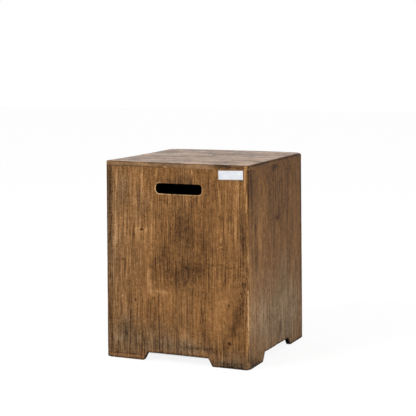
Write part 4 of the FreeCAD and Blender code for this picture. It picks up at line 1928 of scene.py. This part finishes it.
    def _grain_face(self, piece: Piece) -> None:
        """Raises the grain on the upper face and band, and stores the marks for the finish.

        Args:
            piece: The closed slab.
        """
        places = Bench.vectors(piece, "place")
        points = Bench.points(piece)
        across, along = places[:, 0], places[:, 1]
        over = np.maximum(np.abs(places[:, :2]) - self.flat, 0).max(axis=1)
        at_joint = ease((points[:, 2] - SIZES.slab_underside) / 3)
        relief = self.grain.relief(across, along)
        Bench.raise_relief(piece, relief * at_joint * np.where(over > 0, 0.7, 1.0))
        edge = self.inner_radius + SIZES.top_edge_radius * math.pi / 4
        inside = np.abs(points[:, :2]).max(axis=1) < SIZES.half_width - 2
        depth = np.where((points[:, 2] < SIZES.slab_underside + 0.1) & inside, 3.0, 0.0)
        self.store_marks(piece, places, self._edge_dressing(across, along, over - edge, depth))

    def _edge_dressing(self, across: Array, along: Array, past: Array, depth: Array) -> Dressing:
        """How the slab's edge differs from its upper face: no sealer, a dark arris, painted shade under the right
        side's edge, a painted highlight at the band's near corner, and greyer, calmer bands.

        Args:
            across: Places from front to back on the unrolled sheet.
            along: Places from left to right on it.
            past: How far each place lies past the edge's middle, down the band.
            depth: How far each place lies behind the outer face.

        Returns:
            The dressing.
        """
        uneven = clouds((across + along) / 24, (across - along) / 200, 95, 3)
        on_band = ease((past + 1) / 3)
        right = ease((along - np.abs(across)) / 4 + 0.5)
        front = ease((-across - np.abs(along)) / 4 + 0.5)
        broken = np.clip(0.9 + 1.5 * ripple((across + along) / 45, 0.5, 97), 0.15, 1.2)
        line = -0.24 * broken * bell(past / self.ARRIS_BAND)
        # On the right side, painted shade under the top's edge.
        shade = -0.42 * (1 + 0.5 * uneven) * bell((past - 1.4) / self.SHADE_BAND) - 0.14 * on_band
        dark_end = ease((along - self.DARK_END) / 24)
        # At the near corner the band gets a painted highlight.
        highlight_end = bell((along - self.HIGHLIGHT_END) / 6)
        front_band = 0.02 - 0.12 * dark_end + 0.5 * highlight_end
        lip = ease(2.2 * ripple((across + along) / 17, 0.5, 93) - 0.5) * bell((past - 9) / self.LIP_BAND)
        return Dressing(
            wear=np.clip(0.85 * lip * (1 - right) * (1 - dark_end), 0, 1),
            depth=depth,
            stain=line * (1 - right) + shade * right + front_band * on_band * front,
            sealed=np.maximum(1 - ease((past + 3.9) / 4), 0.16 * on_band * front),
            ash=0.38 * on_band * front * (1 - dark_end),
            calm=0.85 * on_band * (1 - right) + 0.75 * on_band * right,
        )


# ---------------- inside the table


@dataclass
class MeshSheet:
    """A sheet of glass-fibre mesh: a skin of slurry with straight strands laid over it both ways.

    It is modelled lying against a wall's inner face, in that wall's frame, or for the top under its slab.
    """

    name: str
    pitch: float = 7.5
    strand: float = 1.5
    flatness: float = 0.42
    skin: float = 0.55

    def build(self, low: Vector, high: Vector, cutters: Sequence[Piece]) -> Piece:
        """Models the sheet between two corners.

        Args:
            low: The lowest corner, with the slab's face at its greatest Y.
            high: The highest corner.
            cutters: Solids to take out of the sheet.

        Returns:
            The sheet.
        """
        skin = self._slurry(low, high)
        strands = [self._strands(low, high, axis) for axis in (0, 2)]
        for cutter in cutters:
            for part in (skin, *strands):
                Bench.cut_away(part, cutter)
        for part in (skin, *strands):
            rows = np.zeros((len(part.data.vertices), 3))
            rows[:, 0] = part is not skin
            Bench.set_vectors(part, "strands", rows)
        Bench.join(skin, *strands)
        Bench.smooth(skin, 40)
        return skin

    def _slurry(self, low: Vector, high: Vector) -> Piece:
        """The skin of slurry: a slab with a lumpy face.

        Args:
            low: The lowest corner.
            high: The highest corner.

        Returns:
            The skin.
        """
        size = high - low
        piece = Bench.sheet_of_faces(self.name, round(size.x / 6), round(size.z / 6))
        points = Bench.points(piece) * MM
        across, up = points[:, 0] * size.x, points[:, 1] * size.z
        middle = (low + high) / 2
        lumps = 0.16 * clouds(across / 15, up / 15, 41, 3)
        edge = np.minimum(0.5 - np.abs(points[:, 0]), 0.5 - np.abs(points[:, 1])) > 1e-4
        front = low.y + (self.skin - 0.2) + lumps * edge
        Bench.set_points(piece, np.stack([across + middle.x, front, up + middle.z], 1))
        Bench.edit(piece)
        bpy.ops.mesh.select_all(action="SELECT")
        for vertex in Bench.extruded(piece).verts:
            if vertex.select:
                vertex.co.y = low.y * MM
        bmesh.update_edit_mesh(piece.data)
        Bench.close_outwards(piece)
        return piece

    def _strands(self, low: Vector, high: Vector, axis: int) -> Piece:
        """The strands that lie side by side along one axis, each a flattened rod that runs along the other.

        Args:
            low: The lowest corner.
            high: The highest corner.
            axis: The axis along which they repeat.

        Returns:
            The strands.
        """
        size = high - low
        spread, length = size[axis], size[2 - axis]
        count = int(spread / self.pitch)
        Bench.clear()
        bpy.ops.mesh.primitive_cylinder_add(vertices=6, radius=self.strand / 2 * MM, depth=length * MM)
        piece = Bench.take(f"{self.name}_{axis}")
        points = Bench.points(piece)
        points[:, 1] *= self.flatness
        if axis == 2:
            points = points[:, [2, 1, 0]]
        start, step = (low + high) / 2, Vector()
        start[axis] = low[axis] + (spread - (count - 1) * self.pitch) / 2
        start.y = low.y + self.skin - (0.1 if axis == 0 else 0.0)
        step[axis] = self.pitch * MM
        Bench.set_points(piece, points + np.array(start))
        Bench.apply(
            piece, "ARRAY", count=count, use_relative_offset=False, use_constant_offset=True,
            constant_offset_displace=step,
        )
        Bench.edit(piece)
        Bench.close_outwards(piece)
        return piece


@dataclass
class Linings:
    """The five mesh sheets."""

    finish: Material

    def build(self) -> None:
        """Models all five sheets."""
        for side in Side:
            self._wall_sheet(side)
        self._top_sheet()

    def _wall_sheet(self, side: Side) -> None:
        """Lays one sheet against a wall, cut back round its notch and slot.

        Args:
            side: The wall.
        """
        half = SIZES.half_width - SIZES.wall - (0 if side.slotted else SIZES.lining)
        low = Vector((-half, SIZES.wall, SIZES.wall_foot))
        high = Vector((half, SIZES.wall + SIZES.lining, SIZES.lining_top))
        cutters = [self._notch_cutter(side)]
        if side.slotted:
            cutters.append(self._slot_cutter())
        sheet = MeshSheet(f"woven_mesh_{side.word}").build(low, high, cutters)
        Bench.scrap(*cutters)
        sheet.data.transform(side.to_table())
        give_draft(sheet)
        Bench.finish_piece(sheet, self.finish, "glass_mesh", f"{side.word}_mesh")

    def _notch_cutter(self, side: Side) -> Piece:
        """A wedge-sided block as large as the notch and the mesh's set-back.

        Args:
            side: The wall.

        Returns:
            The cutter.
        """
        left, right = side.feet
        back = SIZES.mesh_setback
        start, end = -SIZES.half_width + left - back, SIZES.half_width - right + back
        high = SIZES.wall_foot + SIZES.notch_height + back
        cutter = Bench.block("notch_cutter", (start, SIZES.wall - 5, SIZES.wall_foot - 5), (end, SIZES.wall + 5, high))
        mesh = Bench.edit(cutter)
        for vertex in mesh.verts:
            if vertex.co.z > high * MM / 2:
                vertex.co.x += math.copysign(SIZES.notch_run * MM, -vertex.co.x)
        Bench.close(cutter)
        return cutter

    def _slot_cutter(self) -> Piece:
        """A block with rounded ends, as large as the slot and the mesh's set-back.

        Returns:
            The cutter.
        """
        back = SIZES.mesh_setback
        reach = Vector((SIZES.slot_length / 2 + back, 5, SIZES.slot_height / 2 + back))
        middle = Vector((SIZES.slot_shift, SIZES.wall, SIZES.slot_middle))
        cutter = Bench.block("slot_cutter", middle - reach, middle + reach)
        Bench.round_sides(Bench.edit(cutter), SIZES.slot_height / 2 + 1.5)
        Bench.close(cutter)
        return cutter

    def _top_sheet(self) -> None:
        """Lays the sheet under the top slab."""
        half = SIZES.half_width - SIZES.wall
        low, high = Vector((-half, 0, -half)), Vector((half, SIZES.lining, half))
        sheet = MeshSheet("woven_mesh_top").build(low, high, [])
        tip = Matrix.Translation((0, 0, SIZES.slab_underside * MM)) @ Matrix.Rotation(math.radians(-90), 4, "X")
        sheet.data.transform(tip)
        Bench.finish_piece(sheet, self.finish, "glass_mesh", "top_mesh")


@dataclass
class MortarStrips:
    """The trowelled strips in the inside corners."""

    finish: Material
    voxel: float = 2.4
    lump_size: float = 26.0
    lump_height: float = 1.3

    def build(self) -> None:
        """Models the four upright strips and the four under the top."""
        for corner, turn in (("front_left", 0), ("front_right", 90), ("back_right", 180), ("back_left", 270)):
            self._place(self._upright(f"trowelled_corner_{corner}"), turn, f"corner_cove_{corner}")
        for side in Side:
            self._place(self._level(f"trowelled_top_{side.word}"), side.value, f"top_cove_{side.word}")

    def _place(self, piece: Piece, turn: float, node: str) -> None:
        """Turns a strip to its corner and finishes it.

        Args:
            piece: The strip.
            turn: Its turn, in degrees.
            node: The node that it stands for.
        """
        piece.data.transform(Matrix.Rotation(math.radians(turn), 4, "Z"))
        give_draft(piece)
        Bench.finish_piece(piece, self.finish, "black_mortar", node)

    def _upright(self, name: str) -> Piece:
        """A strip up the front left corner, as it lies there.

        Args:
            name: The strip's name.

        Returns:
            The strip.
        """
        inner, leg = SIZES.inner, SIZES.cove_leg
        piece = Bench.block(name, (-inner, -inner, SIZES.wall_foot), (-inner + leg, -inner + leg, SIZES.lining_top))
        self._bisect(piece, (-inner + leg, -inner, 0), (1, 1, 0))
        return self._trowel(piece)

    def _level(self, name: str) -> Piece:
        """A strip between the front wall and the top, with its ends fitted to the corner strips.

        Args:
            name: The strip's name.

        Returns:
            The strip.
        """
        inner, leg, top = SIZES.inner, SIZES.cove_leg, SIZES.lining_top
        reach = inner - leg / 2
        piece = Bench.block(name, (-reach, -inner, top - leg), (reach, -inner + leg, top))
        self._bisect(piece, (0, -inner, top - leg), (0, 1, -1))
        for sign in (-1, 1):
            self._bisect(piece, (sign * (inner - leg), -inner, 0), (sign, -1, 0))
            self._bisect(piece, (sign * (inner - leg), -inner + leg, 0), (sign, 1, 0))
        return self._trowel(piece)

    @staticmethod
    def _bisect(piece: Piece, point: Sequence[float], normal: Sequence[float]) -> None:
        """Cuts a piece by a plane and keeps what lies behind it.

        Args:
            piece: The piece.
            point: A point on the plane.
            normal: The side that is cut off.
        """
        Bench.edit(piece)
        bpy.ops.mesh.select_all(action="SELECT")
        bpy.ops.mesh.bisect(plane_co=Vector(point) * MM, plane_no=normal, use_fill=True, clear_outer=True)
        Bench.close(piece)

    def _trowel(self, piece: Piece) -> Piece:
        """Gives a strip a fine mesh and the waves that a trowel leaves.

        Args:
            piece: The plain strip.

        Returns:
            The same strip.
        """
        Bench.apply(piece, "REMESH", mode="VOXEL", voxel_size=self.voxel * MM)
        waves = bpy.data.textures.get("trowel_waves") or bpy.data.textures.new("trowel_waves", "CLOUDS")
        waves.noise_scale = self.lump_size * MM
        waves.noise_depth = 3
        Bench.apply(
            piece, "DISPLACE", texture=waves, texture_coords="LOCAL", strength=-self.lump_height * MM, mid_level=0.0
        )
        Bench.smooth(piece)
        return piece


# ---------------- pads and plate


@dataclass
class FootPads:
    """The rubber pads under the corners, each with a moulded ring and a dimple in its underside."""

    STEPS = ((1.2, 0.0), (0.3, 0.5), (1.2, 0.0), (0.3, -0.5), (2.2, 0.0), (0.6, 0.7))

    finish: Material

    def build(self) -> None:
        """Models the four pads."""
        for corner in ("front_left", "front_right", "back_right", "back_left"):
            self._pad(corner)

    def _pad(self, corner: str) -> None:
        """Models one pad where its node lies.

        Args:
            corner: The corner's name.
        """
        node = f"foot_pad_{corner}"
        low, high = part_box(node)
        Bench.clear()
        bpy.ops.mesh.primitive_cylinder_add(
            vertices=64, radius=(high.x - low.x) / 2, depth=high.z - low.z, location=(low + high) / 2
        )
        piece = Bench.take(f"rubber_pad_{corner}")
        for face in Bench.edit(piece).faces:
            face.select = face.normal.z < -0.9
        for inset, rise in self.STEPS:
            bpy.ops.mesh.inset(thickness=inset * MM)
            bpy.ops.transform.translate(value=(0, 0, rise * MM))
        Bench.close(piece)
        Bench.bevel(piece, 0.2, 3, 50)
        Bench.smooth(piece, 40)
        Bench.finish_piece(piece, self.finish, "rubber", node)


@dataclass
class Plate:
    """The bare plate and the foam tape that holds it."""

    metal: Material
    foam: Material
    corner: float = 1.5
    chamfer: float = 0.3
    rim: float = 0.5
    line: float = 0.25
    slope: float = 0.1
    press: float = 0.08
    askew: float = 1.4
    trim: float = 0.7
    swelling: float = 0.25

    def build(self) -> None:
        """Models the plate and its tape where their nodes lie."""
        self._plate()
        self._tape()

    def _turn(self, piece: Piece) -> None:
        """Turns a piece a little about its middle, its right end up, as a plate stuck on by hand sits.

        Args:
            piece: The plate or its tape.
        """
        points = Bench.points(piece)
        middle = (points.min(axis=0) + points.max(axis=0)) / 2
        cosine, sine = math.cos(math.radians(self.askew)), math.sin(math.radians(self.askew))
        right, _, up = (points - middle).T
        points[:, 0] = middle[0] + right * cosine - up * sine
        points[:, 2] = middle[2] + right * sine + up * cosine
        Bench.set_points(piece, points)

    def _plate(self) -> None:
        """A thin sheet with rounded corners, a chamfered rim and a line pressed in round its bare face."""
        low, high = (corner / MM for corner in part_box("nameplate"))
        low.z += self.trim
        piece = Bench.block("bare_plate", low, high)
        Bench.round_sides(Bench.edit(piece), self.corner)
        bpy.ops.mesh.select_all(action="DESELECT")
        for face in bmesh.from_edit_mesh(piece.data).faces:
            face.select = face.normal.y < -0.9
        bpy.ops.transform.translate(value=(0, self.chamfer * MM, 0))
        steps = (
            (self.chamfer, -self.chamfer), (self.rim, 0), (self.slope, self.press), (self.line, 0),
            (self.slope, -self.press),
        )
        for inset, sink in steps:
            bpy.ops.mesh.inset(thickness=inset * MM)
            bpy.ops.transform.translate(value=(0, sink * MM, 0))
        Bench.close(piece)
        behind = Bench.points(piece)[:, 1] - low.y
        rows = np.zeros((len(behind), 3))
        rows[:, 0] = np.abs(behind - self.press) < 0.02
        Bench.set_vectors(piece, "pressed", rows)
        self._turn(piece)
        Bench.smooth(piece, 20)
        Bench.finish_piece(piece, self.metal, "plate", "nameplate")

    def _tape(self) -> None:
        """The tape, with slightly swollen edges where the plate squeezes it."""
        low, high = (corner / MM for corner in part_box("nameplate_tape"))
        piece = Bench.block("plate_foam_tape", low, high)
        for face in Bench.edit(piece).faces:
            face.select = abs(face.normal.y) < 0.5
        bpy.ops.mesh.subdivide(number_cuts=2)
        Bench.close(piece)
        points = Bench.points(piece)
        from_middle = points - (np.array(low) + np.array(high)) / 2
        inside = np.abs(from_middle[:, 1]) < 0.2
        for axis in (0, 2):
            points[:, axis] += np.sign(from_middle[:, axis]) * self.swelling * inside
        Bench.set_points(piece, points)
        self._turn(piece)
        Bench.smooth(piece, 40)
        Bench.finish_piece(piece, self.foam, "foam_tape", "nameplate_tape")


# ---------------- the studio


@dataclass(frozen=True)
class Viewpoint:
    """Where the camera stands, how it is turned, in degrees, and its lens, in millimetres."""

    place: Triple = (1.3815, -3.1415, 0.8328)
    azimuth: float = 23.692
    elevation: float = 7.371
    roll: float = -0.433
    lens: float = 109.10

    def set_up(self) -> None:
        """Puts the camera there and looks through it."""
        camera = bpy.data.cameras.new("studio_camera")
        camera.lens = self.lens
        stand = bpy.data.objects.new("studio_camera", camera)
        turned = Matrix.Rotation(math.radians(self.azimuth), 4, "Z")
        tipped = Matrix.Rotation(math.radians(90 - self.elevation), 4, "X")
        rolled = Matrix.Rotation(math.radians(self.roll), 4, "Z")
        stand.matrix_world = Matrix.Translation(self.place) @ turned @ tipped @ rolled
        bpy.context.scene.collection.objects.link(stand)
        bpy.context.scene.camera = stand


@dataclass(frozen=True)
class SoftBox:
    """A square area lamp."""

    name: str
    place: Triple
    power: float
    size: float = 1.8
    aim: Triple = (0, 0, 0.3)

    def hang(self) -> None:
        """Hangs the lamp, pointed at its aim."""
        lamp = bpy.data.lights.new(self.name, "AREA")
        lamp.shape = "SQUARE"
        lamp.size = self.size
        lamp.energy = self.power
        stand = bpy.data.objects.new(self.name, lamp)
        stand.location = self.place
        stand.rotation_euler = (Vector(self.aim) - Vector(self.place)).to_track_quat("-Z", "Y").to_euler()
        bpy.context.scene.collection.objects.link(stand)


@dataclass(frozen=True)
class Studio:
    """A pale floor, a white background, even light from all round and a soft lamp at the front left."""

    floor_size: float = 24.0
    lamps: tuple[SoftBox, ...] = (
        SoftBox("key_softbox", (-1.9, -3.1, 2.6), 105),
        SoftBox("fill_softbox", (3.2, -1.2, 2.2), 22),
    )

    def set_up(self) -> None:
        """Builds the floor, the background and the lamps, and sets how the picture is shown."""
        Bench.clear()
        bpy.ops.mesh.primitive_plane_add(size=self.floor_size)
        floor = Bench.take("studio_floor")
        floor.data.materials.append(StudioFloor("pale_floor").material)
        Backdrop("studio_white")
        for lamp in self.lamps:
            lamp.hang()
        bpy.context.scene.view_settings.view_transform = "Standard"


# ---------------- the whole table


def build_slabs() -> None:
    """Models the four walls and the top."""
    wood = FauxWood("stained_faux_wood").material
    walls = [
        CastWall(
            "cast_front_wall", front_grain(), side=Side.FRONT, lined=0.8, arris_wear=(0.1, 0.05), worn_highlit_arris=1,
            worn_highlit_inset=1.3, arris_darkening=(0.22, 0.0), corner_lift=(5.0, 3.0), foot_trim=(-2.0, 1.0), ramps=(13.0, 12.0),
        ),
        CastWall(
            "cast_right_wall", right_grain(), side=Side.RIGHT, lined=0.65, arris_wear=(0.15, 0.1), worn_highlit_arris=-1,
            # The darkening down this wall's far corner is painted shade.
            arris_darkening=(0.0, 0.35), corner_lift=(4.5, 3.0), notch_lift=2.0, foot_trim=(0.0, -4.0),
            ramps=(15.0, 21.0), foot_shade=0.6, noise_shift=1.7,
        ),
        CastWall(
            "cast_back_wall", scattered_grain(205, (0.02, -0.04, 0.05, -0.02, 0.03)), side=Side.BACK, lined=0.7,
            noise_shift=3.1,
        ),
        CastWall(
            "cast_left_wall", scattered_grain(207, (-0.03, 0.04, -0.02, 0.05)), side=Side.LEFT, lined=0.65,
            noise_shift=4.9,
        ),
    ]
    for wall in walls:
        Bench.finish_piece(wall.build(), wood, "faux_wood", f"{wall.side.word}_wall")
    top = CastTop("cast_top", top_grain(), noise_shift=6.3, lined=0.8)
    Bench.finish_piece(top.build(), wood, "faux_wood", "top_slab")


def main() -> None:
    """Builds the dressed table and the studio."""
    logging.basicConfig(level=logging.INFO, format="%(name)s: %(message)s")
    build_slabs()
    Linings(BlackMesh("mesh_in_black_slurry").material).build()
    MortarStrips(BlackMortar("black_mortar").material).build()
    FootPads(FootRubber("foot_rubber").material).build()
    Plate(SatinPlate("satin_plate").material, FoamTape("black_foam_tape").material).build()
    Studio().set_up()
    Viewpoint().set_up()


if __name__ == "__main__":
    main()
